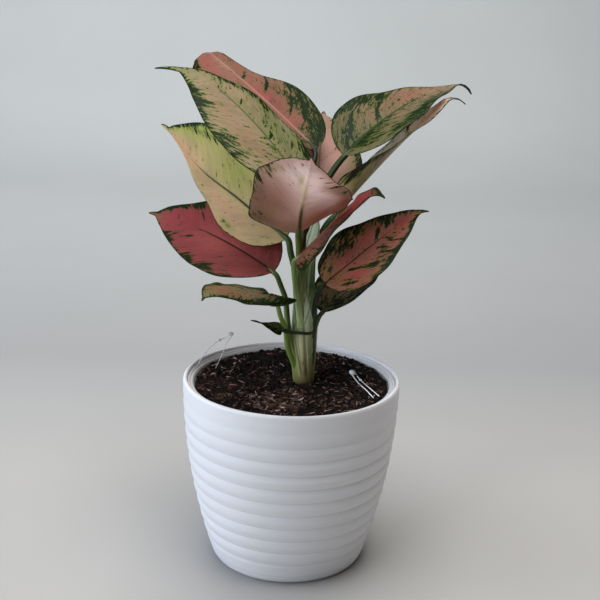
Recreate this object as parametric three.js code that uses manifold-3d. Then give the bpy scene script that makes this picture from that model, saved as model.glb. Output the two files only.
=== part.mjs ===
// A potted Chinese evergreen: a pink-leaved plant in its thin nursery pot, standing in a ribbed pot.
// Millimetres, +Z up. The origin is the middle of the flat foot that the outer pot stands on.
import * as THREE from "three";
import { mergeVertices } from "three/addons/utils/BufferGeometryUtils.js";
import Module from "manifold-3d";

const wasm = await Module();
wasm.setup();

// Driving dimensions.
const clearance = 0.3; // between pieces that rest on or in each other
const facets = 36; // round the pots and the soil
const pot = {
  rimRadius: 80,
  height: 140,
  lipWall: 3,
  floor: 3,
  footOuter: 54,
  ribPitch: 10.9,
  firstCrease: 17.6,
  lastCrease: 126.6,
  ribDepth: 1.3,
  fadeFrom: 100, // the ribs die away from here up to the plain band
};
const nursery = {
  floorRadius: 51,
  flangeRadius: 75.8,
  topZ: 138,
  wall: 1.2,
  soilLineRadius: 71.9,
  drainHoles: 6,
  drainRadius: 4,
  drainCircle: 34,
};
const soil = { surfaceZ: 134, crown: 1.2, lump: 0.8, backRise: 1.8, chips: 44, rings: 12 };
const cane = {
  x: 9,
  y: 3,
  footZ: 104,
  footRadius: 6.2,
  flute: 0.05, // how far the edges of the sheaths stand out, as a share of the radius
  sides: 16,
};
const blade = {
  thickness: 0.8,
  ribThickness: 2.4,
  rootHalfWidth: 1.8,
  tipHalfWidth: 0.35,
};
const strand = { radius: 0.5, sides: 6 };

// The blades. at: where the blade meets its stalk. heading: degrees from +X, seen from above.
// rise and bend: slope at the foot, and its change to the tip. sweep: the same for the heading.
// roll and twist turn the blade round its midrib. fold: how far the left and right halves stand up
// from flat, opening: the change of both to the tip, and curl: the extra slope at their margins.
// hook: where the tip starts to nod, by how much, and sideways. widest and tail: shares of length.
// lobe: how far each half reaches back past the stalk. lean: how much wider the right half is.
// ripple: the waves of the margins, as height, count over the length and phase.
const plain = {
  roll: 0,
  twist: 0,
  fold: [8, 8],
  opening: 0,
  curl: [0, 0],
  lobe: [0, 0],
  lean: 0,
  ripple: [0.9, 3.4, 0],
};
const blades = {
  // upper left, in front: cream, with a long drawn tip
  leaf_upper_left_front: {
    ...plain, at: [5.9, -12, 281.4], heading: 132, rise: 43, bend: -20, sweep: 23, length: 162, width: 66,
    roll: -1, twist: 31, fold: [-2, -4], opening: -3, curl: [-11, -13], hook: [0.7, -33, 12],
    lobe: [4, 12], widest: 0.4, tail: 0.13, lean: -0.05, colour: "#c9a58a",
  },
  // upper left, behind: rose, its tip rolled over and down
  leaf_upper_left_back: {
    ...plain, at: [13, 45, 302.3], heading: 136, rise: 31, bend: -14.5, sweep: -8, length: 199,
    width: 66, twist: -6, fold: [-14, 17], opening: -30, curl: [12, 4], hook: [0.68, -174, -15],
    ripple: [2.6, 2.2, 80], widest: 0.38, tail: 0.18, lean: 0.08, colour: "#b96b62",
  },
  // left: yellow cream
  leaf_left: {
    ...plain, at: [-6.2, -7.5, 246.8], heading: 154, rise: 29, bend: -3, sweep: -31, length: 150, width: 71,
    roll: 57, twist: 37, fold: [-19, 9], opening: -5, curl: [-18, -3], hook: [0.8, -16, -1],
    widest: 0.42, tail: 0.09, lean: 0.1, colour: "#c6ab83",
  },
  // lower left: crimson
  leaf_lower_left: {
    ...plain, at: [-15, -7.5, 221.6], heading: 139, rise: 19, bend: -15, sweep: 6, length: 128, width: 65,
    roll: 17, twist: 21, fold: [0, 14], curl: [-10, 2], hook: [0.78, -7, 1],
    widest: 0.38, tail: 0.06, lean: 0.03, colour: "#a34a52",
  },
  // low left: small, narrow, half folded
  leaf_low_left_small: {
    ...plain, at: [-15.5, -20.8, 205.6], heading: 216, rise: 16, bend: -1, sweep: 17, length: 69,
    width: 34, roll: 5, twist: 9, fold: [-1, 6], curl: [-11, -5], hook: [0.73, -48, 16],
    lobe: [14, 4], widest: 0.36, tail: 0.04, colour: "#a27a62",
  },
  // front: dusty pink, seen from below its tip
  leaf_front: {
    ...plain, at: [2, -22, 254], heading: -88, rise: 37, bend: -8, sweep: 4, length: 123, width: 69,
    roll: -9, twist: 47, fold: [13, 4], curl: [1, -7], hook: [0.78, 8, -3],
    widest: 0.42, tail: 0.05, lean: 0.06, colour: "#b08a80",
  },
  // upper right: salmon and green, with a hooked tip
  leaf_upper_right: {
    ...plain, at: [33, 6, 304], heading: 45, rise: 35, bend: -30, sweep: -12, length: 139, width: 62,
    roll: -11, twist: 27, fold: [21, 11], opening: -16, curl: [8, -1], hook: [0.86, -62, 0],
    widest: 0.37, tail: 0.11, lean: -0.05, colour: "#a8806b",
  },
  // right, below it: folded along its midrib
  leaf_right_folded: {
    ...plain, at: [29, 0, 264], heading: 31, rise: 45, bend: -11, sweep: -3, length: 136, width: 52,
    roll: 23, twist: -56, fold: [13, 46], opening: -20, curl: [-32, -2], hook: [0.85, -80, -6],
    widest: 0.26, tail: 0.08, colour: "#8f7a63",
  },
  // centre right: the newest, red, its near half hanging
  leaf_centre_young: {
    ...plain, at: [1, -20, 235], heading: -44, rise: 39, bend: -2, sweep: -13, length: 106, width: 45,
    roll: -3, twist: -1, fold: [21, -46], opening: 34, curl: [-4, -7], hook: [0.84, -59, -2],
    widest: 0.32, tail: 0.04, colour: "#b5545a",
  },
  // right: rose red, much blotched
  leaf_right: {
    ...plain, at: [22, -9, 214], heading: 18, rise: 38, bend: -10, sweep: 17, length: 99, width: 52,
    roll: -20, twist: 7, fold: [15, 1], curl: [3, -10], hook: [0.78, -39, 0],
    widest: 0.3, tail: 0.09, colour: "#9c544f",
  },
  // low right, behind: dark, in shade
  leaf_low_right_back: {
    ...plain, at: [21.2, -0.6, 190.4], heading: 51, rise: 28, bend: -20, sweep: 3, length: 89, width: 47,
    roll: -2, twist: 12, fold: [13, 11], opening: 6, hook: [0.78, -15, 0],
    widest: 0.4, tail: 0.06, colour: "#5a4f40",
  },
  // behind the crown: pale pink
  leaf_back: {
    ...plain, at: [15, 26, 268], heading: 88, rise: 34, bend: -16, sweep: -2, length: 121, width: 63,
    roll: -5, twist: -6, fold: [12, 7], opening: -3, curl: [0, -4], hook: [0.78, -7, 2],
    widest: 0.39, tail: 0.07, lean: 0.03, colour: "#bf9a93",
  },
  // the small dark bract whose foot wraps round the front of the stem
  bract: {
    ...plain, at: [-7.6, -14, 179.95], heading: 188, rise: 20, bend: 0, sweep: 0, length: 24, width: 14,
    twist: -9, fold: [-34, 20], hook: [0.78, -15, 0],
    widest: 0.26, tail: 0.1, colour: "#2c3a22",
  },
};

// The leaf stalks, by the leaf that each carries: points on the way up, out of the cane to the blade,
// and the radius at the foot and at the blade.
const stalks = {
  leaf_upper_left_front: { way: [[7, -3, 180], [6, -7, 215], [6, -12, 255]], radius: [3.2, 1.6] },
  leaf_upper_left_back: {
    way: [[10, 4, 180], [9, 8, 218], [8.5, 15, 258], [9, 22, 276], [11, 34, 291]],
    radius: [3.2, 2],
  },
  leaf_left: {
    way: [[5, -3, 178], [1.8, -6, 208], [0, -8, 225], [-3.8, -8.6, 239]],
    radius: [3, 2.3],
  },
  leaf_lower_left: {
    way: [[3, -1, 155], [-1.5, -3, 168], [-3.6, -4, 180], [-4.8, -4.5, 191], [-5.8, -4.6, 201], [-10, -6.5, 212]],
    radius: [2.9, 1.8],
  },
  leaf_low_left_small: {
    way: [[5.6, 1, 139], [2.6, -1, 149], [-3, -3.6, 163], [-4.2, -6, 171], [-5.2, -9.5, 180], [-8.7, -14, 189]],
    radius: [3.4, 1.6],
  },
  leaf_front: { way: [[6, -4, 180], [4.4, -8, 209], [3.2, -11, 229], [2.8, -13.5, 241]], radius: [3.2, 2.3] },
  leaf_upper_right: {
    way: [[10, 2, 190], [11, 3, 235], [14, 5, 262], [20, 6, 284], [25, 6, 292.4]],
    radius: [4, 2.5],
  },
  leaf_right_folded: {
    way: [[11, 3, 188], [11.5, 5.5, 212], [14.5, 7, 236], [21.5, 5, 254]],
    radius: [3, 1.9],
  },
  leaf_centre_young: { way: [[6, -6, 180], [2.5, -12, 205], [0, -16, 221]], radius: [2.8, 1.8] },
  leaf_right: {
    way: [[13, -3, 172], [14.1, -4, 188], [15.8, -6.5, 199], [17.8, -8, 207.4]],
    radius: [2.8, 1.8],
  },
  leaf_low_right_back: {
    way: [[12.2, 0.5, 139], [14.2, -1, 152], [15.1, -2.2, 164], [15.4, -2.8, 176], [17.6, -2, 184]],
    radius: [2.8, 1.7],
  },
  leaf_back: { way: [[11, 5, 185], [12, 10, 218], [13, 18, 248]], radius: [3, 1.9] },
};

const degree = Math.PI / 180;
const clamp01 = (t) => Math.min(1, Math.max(0, t));

// A small seeded generator, so that the crumbs fall alike each time.
function seeded(seed) {
  let state = seed;
  return () => {
    state = (state * 1664525 + 1013904223) % 4294967296;
    return state / 4294967296;
  };
}

function toSolid(geometry) {
  const bare = geometry.clone();
  bare.deleteAttribute("normal");
  bare.deleteAttribute("uv");
  const merged = mergeVertices(bare, 1e-4);
  const mesh = new wasm.Mesh({
    numProp: 3,
    vertProperties: merged.attributes.position.array,
    triVerts: new Uint32Array(merged.index.array),
  });
  return new wasm.Manifold(mesh);
}

function toGeometry(solid) {
  const mesh = solid.getMesh();
  const geometry = new THREE.BufferGeometry();
  geometry.setAttribute("position", new THREE.BufferAttribute(mesh.vertProperties, 3));
  geometry.setIndex(new THREE.BufferAttribute(mesh.triVerts, 1));
  geometry.computeVertexNormals();
  return geometry;
}

// A closed skin through rings of equally many points, with a flat fan on each end.
function skin(rings) {
  const count = rings[0].length;
  const points = rings.flat();
  const faces = [];
  for (let i = 0; i < rings.length - 1; i++) {
    for (let j = 0; j < count; j++) {
      const a = i * count + j;
      const b = i * count + ((j + 1) % count);
      faces.push(a, b, b + count, a, b + count, a + count);
    }
  }
  const last = (rings.length - 1) * count;
  for (let j = 1; j < count - 1; j++) {
    faces.push(0, j + 1, j, last, last + j, last + j + 1);
  }
  return indexed(points, faces);
}

function indexed(points, faces) {
  const geometry = new THREE.BufferGeometry().setFromPoints(points);
  geometry.setIndex(faces);
  return geometry;
}

// A round rod along a curve, its radius given by the share of the way along.
function rod(curve, steps, sides, radiusAt) {
  const frames = curve.computeFrenetFrames(steps, false);
  const rings = [];
  for (let i = 0; i <= steps; i++) {
    const centre = curve.getPointAt(i / steps);
    const radius = radiusAt(i / steps);
    const ring = [];
    for (let j = 0; j < sides; j++) {
      const turn = (2 * Math.PI * j) / sides;
      const point = centre.clone();
      point.addScaledVector(frames.normals[i], radius * Math.cos(turn));
      point.addScaledVector(frames.binormals[i], radius * Math.sin(turn));
      ring.push(point);
    }
    rings.push(ring);
  }
  return skin(rings);
}

function through(points) {
  return new THREE.CatmullRomCurve3(points.map((p) => new THREE.Vector3(...p)));
}

function lathe(profile) {
  const points = profile.map(([radius, z]) => new THREE.Vector2(radius, z));
  return new THREE.LatheGeometry(points, facets).rotateX(Math.PI / 2);
}

// The outer pot: a rounded foot, a flared side in convex ribs that fade below a rolled lip.
function sideRadius(z) {
  const t = z / pot.height;
  return 56.73 + 48.68 * t - 27.22 * t * t + 1.81 * t * t * t;
}

function ribbedRadius(z) {
  if (z < pot.firstCrease || z > pot.lastCrease) return sideRadius(z);
  const share = ((z - pot.firstCrease) / pot.ribPitch) % 1;
  const fade = 1 - 0.75 * clamp01((z - pot.fadeFrom) / (pot.lastCrease - pot.fadeFrom));
  return sideRadius(z) - pot.ribDepth * fade * (1 - Math.sin(Math.PI * share));
}

function outerPot() {
  const outside = [];
  const pointsPerRib = 3;
  const ribs = Math.round((pot.lastCrease - pot.firstCrease) / pot.ribPitch);
  for (let i = 0; i <= ribs * pointsPerRib; i++) {
    const z = pot.firstCrease + (i * pot.ribPitch) / pointsPerRib;
    outside.push([ribbedRadius(z), z]);
  }
  const inside = [120, 80, 40, 12].map((z) => [sideRadius(z) - pot.lipWall - 0.8, z]);
  const inLip = pot.rimRadius - pot.lipWall;
  return lathe([
    [0, 0],
    [pot.footOuter, 0],
    [pot.footOuter + 2.4, 1],
    [sideRadius(4), 4],
    [sideRadius(11), 11],
    ...outside,
    [pot.rimRadius - 0.1, 134],
    [pot.rimRadius, 138.4],
    [pot.rimRadius - 0.7, pot.height],
    [inLip + 0.6, pot.height],
    [inLip, 139.2],
    [inLip - 0.2, 130],
    ...inside,
    [pot.footOuter - 2, pot.floor],
    [0, pot.floor],
  ]);
}

// The nursery pot stands on the outer pot's floor: a thin cone with a stepped flange and drain holes.
function nurseryPot() {
  const z0 = pot.floor + clearance;
  const { floorRadius, flangeRadius, topZ, wall, soilLineRadius } = nursery;
  const body = toSolid(
    lathe([
      [0, z0],
      [floorRadius, z0],
      [floorRadius + 1.2, z0 + 1.2],
      [soilLineRadius + 0.6, 127],
      [soilLineRadius + 1.5, 129],
      [soilLineRadius + 1.8, topZ - 2.2],
      [flangeRadius, topZ - 1.9],
      [flangeRadius, topZ - 0.4],
      [flangeRadius - 0.6, topZ],
      [flangeRadius - 1.6, topZ - 0.2],
      [flangeRadius - 2.6, topZ - 1.4],
      [soilLineRadius + 0.6, topZ - 1.6],
      [soilLineRadius, soil.surfaceZ],
      [soilLineRadius - 0.7, 127],
      [floorRadius + 1.2 - wall, z0 + 1.2 + wall],
      [floorRadius - wall, z0 + wall],
      [0, z0 + wall],
    ]),
  );
  let drained = body;
  for (let i = 0; i < nursery.drainHoles; i++) {
    const turn = (2 * Math.PI * i) / nursery.drainHoles;
    const drill = new THREE.CylinderGeometry(nursery.drainRadius, nursery.drainRadius, 8, 10);
    drill.rotateX(Math.PI / 2);
    drill.translate(nursery.drainCircle, 0, z0 + wall / 2);
    drill.rotateZ(turn);
    drained = drained.subtract(toSolid(drill));
  }
  return toGeometry(drained);
}

// The height of the soil: a low crown, lumps from crossed waves, and a rise at the back.
function soilHeight(x, y) {
  const share = Math.hypot(x, y) / nursery.soilLineRadius;
  const crown = soil.crown * (1 - share * share);
  const lumps = Math.sin(x / 5.3 + 1) * Math.sin(y / 4.7) + 0.7 * Math.sin(x / 2.9 + y / 3.7);
  const rise = soil.backRise * clamp01((y - 15) / 50);
  return soil.surfaceZ + crown + rise + soil.lump * lumps * clamp01((1 - share) * 8);
}

// The soil fills the nursery pot. Crumbs and bark chips stand out of its top, and the cane's hole is plain.
function soilBody() {
  const floorZ = pot.floor + nursery.wall + 2 * clearance;
  const topRadius = nursery.soilLineRadius - 1.1;
  const rings = [];
  const ringAt = (radius, heightAt) => {
    const ring = [];
    for (let j = 0; j < facets; j++) {
      const turn = (2 * Math.PI * j) / facets;
      const x = radius * Math.cos(turn);
      const y = radius * Math.sin(turn);
      ring.push(new THREE.Vector3(x, y, heightAt(x, y)));
    }
    return ring;
  };
  rings.push(ringAt(6, () => floorZ));
  rings.push(ringAt(nursery.floorRadius - nursery.wall - 1, () => floorZ));
  rings.push(ringAt(topRadius - 0.7, () => 126));
  for (let i = soil.rings; i > 0; i--) {
    rings.push(ringAt((topRadius * i) / soil.rings, soilHeight));
  }
  let body = toSolid(skin(rings));
  const random = seeded(11);
  let placed = 0;
  while (placed < soil.chips) {
    const radius = 66 * Math.sqrt(random());
    const turn = 2 * Math.PI * random();
    const x = radius * Math.cos(turn);
    const y = radius * Math.sin(turn);
    const size = 1.4 + 1.8 * random();
    const spin = 2 * Math.PI * random();
    const nearCane = Math.hypot(x - cane.x, y - cane.y) < cane.footRadius + 5;
    const nearStrand = x > 40 && y < 26 && y > -40;
    if (nearCane || nearStrand) continue;
    const chip = new THREE.OctahedronGeometry(size);
    chip.scale(1.3, 0.8, 0.6);
    chip.rotateZ(spin);
    chip.translate(x, y, soilHeight(x, y) + 0.2 * size);
    body = body.add(toSolid(chip));
    placed += 1;
  }
  const hole = new THREE.CylinderGeometry(holeRadius(), holeRadius(), 60, cane.sides);
  hole.rotateX(Math.PI / 2);
  hole.translate(cane.x, cane.y, cane.footZ - clearance + 30);
  return toGeometry(body.subtract(toSolid(hole)));
}

function holeRadius() {
  return cane.footRadius + 0.4;
}

// The way a blade's midrib points at a share s of its length.
function heading(leaf, s) {
  const [from, nod, yaw] = leaf.hook;
  const share = clamp01((s - from) / (1 - from));
  return {
    turn: degree * (leaf.heading + leaf.sweep * s + yaw * share),
    slope: degree * (leaf.rise + leaf.bend * s + nod * share),
  };
}

function along({ turn, slope }) {
  const level = Math.cos(slope);
  return new THREE.Vector3(level * Math.cos(turn), level * Math.sin(turn), Math.sin(slope));
}

// The midrib: the foot of the blade plus its direction summed over the length.
function midrib(leaf, s) {
  const steps = 24;
  const point = new THREE.Vector3(...leaf.at);
  for (let i = 0; i < steps; i++) {
    point.addScaledVector(along(heading(leaf, ((i + 0.5) / steps) * s)), (leaf.length * s) / steps);
  }
  return point;
}

// Half the width: a pointed oval, then a narrow tail, and the stub that meets the stalk.
function halfWidth(leaf, s) {
  const fullness = 1.75;
  const u = Math.min(1, s / (1 - leaf.tail));
  const rise = Math.pow(u / leaf.widest, fullness * leaf.widest);
  const fall = Math.pow((1 - u) / (1 - leaf.widest), fullness * (1 - leaf.widest));
  const tail = 0.045 * clamp01((s - 0.5) / 0.3) * Math.pow(Math.min(1, (1 - s) / 0.12), 0.7);
  const stub = (blade.rootHalfWidth - blade.tipHalfWidth) * Math.pow(1 - s, 12);
  return (leaf.width / 2) * rise * fall + leaf.width * tail + stub + blade.tipHalfWidth;
}

// A point of the blade's top or underside. v runs from -1, the left margin, to 1, the right margin.
function bladePoint(leaf, s, v, side) {
  const way = heading(leaf, s);
  const tangent = along(way);
  const level = new THREE.Vector3(Math.sin(way.turn), -Math.cos(way.turn), 0);
  const up = new THREE.Vector3().crossVectors(level, tangent);
  const turn = degree * (leaf.roll + leaf.twist * s);
  const across = level.clone().multiplyScalar(Math.cos(turn)).addScaledVector(up, Math.sin(turn));
  const normal = up.clone().multiplyScalar(Math.cos(turn)).addScaledVector(level, -Math.sin(turn));
  const half = v < 0 ? 0 : 1;
  const out = Math.abs(v);
  const slope = degree * (leaf.fold[half] + leaf.opening * s + (leaf.curl[half] * out) / 2);
  const edge = degree * (leaf.fold[half] + leaf.opening * s + leaf.curl[half] * out);
  const width = halfWidth(leaf, s) * (1 + leaf.lean * Math.sign(v));
  const [height, count, phase] = leaf.ripple;
  const wave = Math.sin(2 * Math.PI * count * s + degree * phase + 2 * half) * Math.sin(Math.PI * s);
  const ripple = height * (leaf.width / 60) * out * out * wave;
  const rib = Math.max(0, 1 - out / 0.14) * (1 - 0.75 * s);
  const thickness = blade.thickness + (blade.ribThickness - blade.thickness) * rib;
  const lift = ripple + blade.thickness / 2 - (side > 0 ? 0 : thickness);
  const ear = leaf.lobe[half] * out * out * out * (s / 0.06) * Math.exp(1 - s / 0.06);
  const point = midrib(leaf, s).addScaledVector(tangent, -ear).addScaledVector(normal, 0.45 * ear);
  point.addScaledVector(across, width * v * Math.cos(slope) - Math.sign(v) * lift * Math.sin(edge));
  point.addScaledVector(normal, width * out * Math.sin(slope) + lift * Math.cos(edge));
  return point;
}

// A blade: two faces split into triangles alike, closed along the margins and at both ends.
function bladeGeometry(leaf) {
  const small = leaf.length < 40;
  const stations = small
    ? [0, 0.1, 0.3, 0.5, 0.7, 0.87, 1]
    : [0, 0.025, 0.07, 0.14, 0.23, 0.33, 0.43, 0.53, 0.63, 0.73, 0.82, 0.9, 0.96, 1];
  const columns = small ? [-1, -0.3, 0, 0.3, 1] : [-1, -0.55, -0.14, 0, 0.14, 0.55, 1];
  const points = [];
  for (const s of stations) {
    for (const v of columns) points.push(bladePoint(leaf, s, v, 1));
  }
  for (const s of stations) {
    for (const v of columns) points.push(bladePoint(leaf, s, v, -1));
  }
  const n = columns.length;
  const under = stations.length * n;
  const faces = [];
  for (let i = 0; i < stations.length - 1; i++) {
    for (let j = 0; j < n - 1; j++) {
      const a = i * n + j;
      faces.push(a, a + 1, a + n + 1, a, a + n + 1, a + n);
      faces.push(under + a, under + a + n + 1, under + a + 1, under + a, under + a + n, under + a + n + 1);
    }
    const left = i * n;
    const right = left + n - 1;
    faces.push(left, left + n, under + left + n, left, under + left + n, under + left);
    faces.push(right, under + right + n, right + n, right, under + right, under + right + n);
  }
  const last = (stations.length - 1) * n;
  for (let j = 0; j < n - 1; j++) {
    faces.push(j, under + j + 1, j + 1, j, under + j, under + j + 1);
    const a = last + j;
    faces.push(a, a + 1, under + a + 1, a, under + a + 1, under + a);
  }
  return indexed(points, faces);
}

// The stem: a short cane wrapped in sheaths, with every leaf stalk grown out of it. The newest leaf,
// still rolled, is its pointed top.
function caneBody() {
  const levels = [
    [cane.x, cane.y, cane.footZ, cane.footRadius],
    [cane.x, cane.y, 137, cane.footRadius],
    [8.6, 2.5, 148, 7.8],
    [8.6, 2, 163, 9],
    [8.5, 1, 180, 9.3],
    [8.5, 0, 195, 8.4],
    [8.5, 0.5, 210, 6.2],
    [9.5, 1, 228, 5.4],
    [11.5, 2, 242, 5],
    [14, 3, 253, 3.4],
    [15, 3.4, 262, 1],
  ];
  return toSolid(
    skin(
      levels.map(([x, y, z, radius]) => {
        const ring = [];
        for (let j = 0; j < cane.sides; j++) {
          const turn = (2 * Math.PI * j) / cane.sides;
          const flute = cane.flute * clamp01((z - 137) / 10) * Math.cos(4 * turn + z / 30);
          const out = radius * (1 + flute);
          ring.push(new THREE.Vector3(x + out * Math.cos(turn), y + out * Math.sin(turn), z));
        }
        return ring;
      }),
    ),
  );
}

function stalkBody(leaf, { way, radius }) {
  const foot = new THREE.Vector3(...leaf.at);
  const out = along(heading(leaf, 0));
  const end = foot.clone().addScaledVector(out, -1.6 * clearance);
  const neck = foot.clone().addScaledVector(out, -3);
  const curve = through([...way, neck.toArray(), end.toArray()]);
  const steps = 13;
  return toSolid(rod(curve, steps, 7, (t) => radius[0] + (radius[1] - radius[0]) * Math.sqrt(t)));
}

function stem() {
  let body = caneBody();
  for (const [name, stalk] of Object.entries(stalks)) {
    body = body.add(stalkBody(blades[name], stalk));
  }
  const band = [[16, -4.5, 176.2], [12, -8.2, 176], [6, -9.6, 176.6], [0, -10.2, 177.2], [-4.4, -12.4, 178.4]];
  const foot = new THREE.Vector3(...blades.bract.at);
  const end = foot.addScaledVector(along(heading(blades.bract, 0)), -2.5 * clearance);
  return toGeometry(body.add(toSolid(rod(through([...band, end.toArray()]), 9, 6, () => 1.2))));
}

// A moulded nylon loop pin: two strands that part at a flat head, with a bead on one of them.
function loopPin(path, headAt, beadAt) {
  const lead = rod(through(path), 3 * path.length, strand.sides, () => strand.radius);
  const head = new THREE.IcosahedronGeometry(1.6, 0).scale(1.5, 1, 0.8).translate(...headAt);
  const bead = new THREE.IcosahedronGeometry(1.1, 0).translate(...beadAt);
  return toGeometry(toSolid(lead).add(toSolid(head)).add(toSolid(bead)));
}

function lyingPin() {
  const over = (x, y) => [x, y, soilHeight(x, y) + strand.radius + 0.95];
  const out = [[63.5, -27], [57, -10], [51.5, 6], [47.5, 17], [45, 18]];
  const back = [[46.4, 12], [50, -4], [54.5, -16], [59, -29.5]];
  const path = [...out, ...back].map(([x, y]) => over(x, y));
  return loopPin(path, over(46, 18), over(51.5, 6));
}

function standingPin() {
  const up = [[-71.6, 21, 138.9], [-64, 21, 151], [-55, 21, 159.4], [-50, 21, 161.5], [-45.2, 21, 165.5]];
  const down = [[-45.6, 21.5, 163.5], [-49.3, 21.4, 158], [-52.5, 20.4, 149], [-57.8, 19, 137.3]];
  return loopPin([...up, ...down], [-46.5, 21, 164.6], [-55, 21, 159.4]);
}

function mesh(name, geometry, colour, roughness) {
  const material = new THREE.MeshStandardMaterial({ color: colour, roughness, metalness: 0 });
  const piece = new THREE.Mesh(geometry, material);
  piece.name = name;
  return piece;
}

const plant = new THREE.Group();
for (const [name, leaf] of Object.entries(blades)) {
  plant.add(mesh(name, bladeGeometry(leaf), leaf.colour, 0.5));
}
plant.add(mesh("stem", stem(), "#6f8256", 0.55));

const holder = new THREE.Group();
holder.add(mesh("pot", outerPot(), "#d3d3d8", 0.45));
holder.add(mesh("nursery_pot", nurseryPot(), "#b9babd", 0.35));
holder.add(mesh("soil", soilBody(), "#1c1410", 0.95));
holder.add(mesh("loop_pin_lying", lyingPin(), "#e6e6e4", 0.35));
holder.add(mesh("loop_pin_standing", standingPin(), "#dfe1e2", 0.3));

const whole = new THREE.Group();
whole.add(plant, holder);

export default whole;
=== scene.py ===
import bpy
import numpy as np
from mathutils import Matrix


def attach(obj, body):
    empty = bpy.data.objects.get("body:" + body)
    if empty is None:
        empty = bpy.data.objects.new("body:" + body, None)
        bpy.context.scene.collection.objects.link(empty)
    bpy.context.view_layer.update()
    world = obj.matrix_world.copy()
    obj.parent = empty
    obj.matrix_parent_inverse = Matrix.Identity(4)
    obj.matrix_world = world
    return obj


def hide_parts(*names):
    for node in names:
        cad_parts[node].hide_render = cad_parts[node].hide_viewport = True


# A potted Chinese evergreen, dressed piece by piece.
# Sizes are millimetres, colours 0 to 255 as seen on screen.
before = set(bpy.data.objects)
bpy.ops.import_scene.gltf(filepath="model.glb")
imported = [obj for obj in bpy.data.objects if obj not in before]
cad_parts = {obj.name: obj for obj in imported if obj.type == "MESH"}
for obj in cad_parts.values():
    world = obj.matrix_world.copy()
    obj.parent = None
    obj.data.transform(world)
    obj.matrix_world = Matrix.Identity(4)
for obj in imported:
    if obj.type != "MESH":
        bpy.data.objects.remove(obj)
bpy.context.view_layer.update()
metre = 0.001
print("frame loaded:", len(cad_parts), "nodes")


# Small helpers for numbers.

def screen(red, green, blue):
    # a colour as seen on screen, turned into the linear numbers that a shader takes
    seen = np.array([red, green, blue]) / 255
    return np.where(seen <= 0.04045, seen / 12.92, ((seen + 0.055) / 1.055) ** 2.4)


def unit(vectors):
    # each vector divided by its own length
    return vectors / np.maximum(np.linalg.norm(vectors, axis=-1, keepdims=True), 1e-12)


def smoothStep(low, high, x):
    # 0 below low, 1 above high, and 3t^2 - 2t^3 between them
    t = np.clip((x - low) / (high - low), 0, 1)
    return t * t * (3 - 2 * t)


def bell(*pairs):
    # exp(-(x / a)^2 - (y / b)^2) for pairs of a distance and its reach
    return np.exp(-sum((distance / reach) ** 2 for distance, reach in pairs))


def tint(tone, share, colour):
    # a linear tone moved by a share of the way to a colour as seen on screen
    return tone + share[..., None] * (screen(*colour) - tone)


def around(sides):
    # angles at even steps of one full turn
    return 2 * np.pi * np.arange(sides) / sides


def spread(random, low, high, count, power=1):
    # random sizes from low to high; a power above 1 makes the small ones more common
    return low + (high - low) * random.random(count) ** power


def valueNoise(x, y, seed):
    # random heights on a unit lattice, blended between its four corners: -1 to 1
    lattice = 64
    heights = np.random.default_rng(seed).uniform(-1, 1, (lattice, lattice))
    i, j = np.floor(x).astype(int), np.floor(y).astype(int)
    a, b = smoothStep(0, 1, x - i), smoothStep(0, 1, y - j)
    i0, i1, j0, j1 = i % lattice, (i + 1) % lattice, j % lattice, (j + 1) % lattice
    low = heights[i0, j0] * (1 - a) + heights[i1, j0] * a
    high = heights[i0, j1] * (1 - a) + heights[i1, j1] * a
    return low * (1 - b) + high * b


# Helpers for meshes.

def loopFaces(rings, sides):
    # quads between rings of equally many points, each ring closed on itself
    i, j = np.meshgrid(np.arange(rings - 1), np.arange(sides), indexing="ij")
    a = i * sides + j
    b = i * sides + (j + 1) % sides
    return np.stack([a, b, b + sides, a + sides], -1).reshape(-1, 4)


def fanFaces(ring, centre, sides, turned):
    # triangles from one point to a closed ring that starts at the index ring
    j = np.arange(sides)
    a = ring + j
    b = ring + (j + 1) % sides
    c = np.full(sides, centre)
    return np.stack([b, a, c] if turned else [a, b, c], -1)


def turnOutward(points, faceSets):
    # six times the volume by the sum of a . (b x c); below zero every face is turned
    volume = 0
    for faces in faceSets:
        for k in range(1, faces.shape[1] - 1):
            a, b, c = points[faces[:, 0]], points[faces[:, k]], points[faces[:, k + 1]]
            volume += np.einsum("ij,ij->i", a, np.cross(b, c)).sum()
    return faceSets if volume > 0 else [faces[:, ::-1] for faces in faceSets]


def closeRings(rings, ends):
    # a skin over a row of rings, closed by a fan of triangles to one end point on either side
    sides = rings.shape[1]
    count = len(rings) * sides
    points = np.vstack([rings.reshape(-1, 3), ends])
    faceSets = [
        loopFaces(len(rings), sides),
        fanFaces(0, count, sides, True),
        fanFaces(count - sides, count + 1, sides, False),
    ]
    return points, turnOutward(points, faceSets)


def withEnds(field):
    # values for the points of closed rings, in the order that closeRings gives them
    return np.vstack([field.reshape(-1, 3), field[0, :1], field[-1, :1]])


def joinShapes(shapes):
    # several (points, quads and triangles) become one, with the indices moved on
    points, quads, triangles, start = [], [], [], 0
    for shapePoints, faceSets in shapes:
        points.append(shapePoints)
        for faces in faceSets:
            (quads if faces.shape[1] == 4 else triangles).append(faces + start)
        start += len(shapePoints)
    sets = [np.vstack(group) for group in (quads, triangles) if group]
    return np.vstack(points), sets


def linked(name, data):
    # a new object in the scene for a mesh, a camera or a lamp
    thing = bpy.data.objects.new(name, data)
    bpy.context.scene.collection.objects.link(thing)
    return thing


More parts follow.
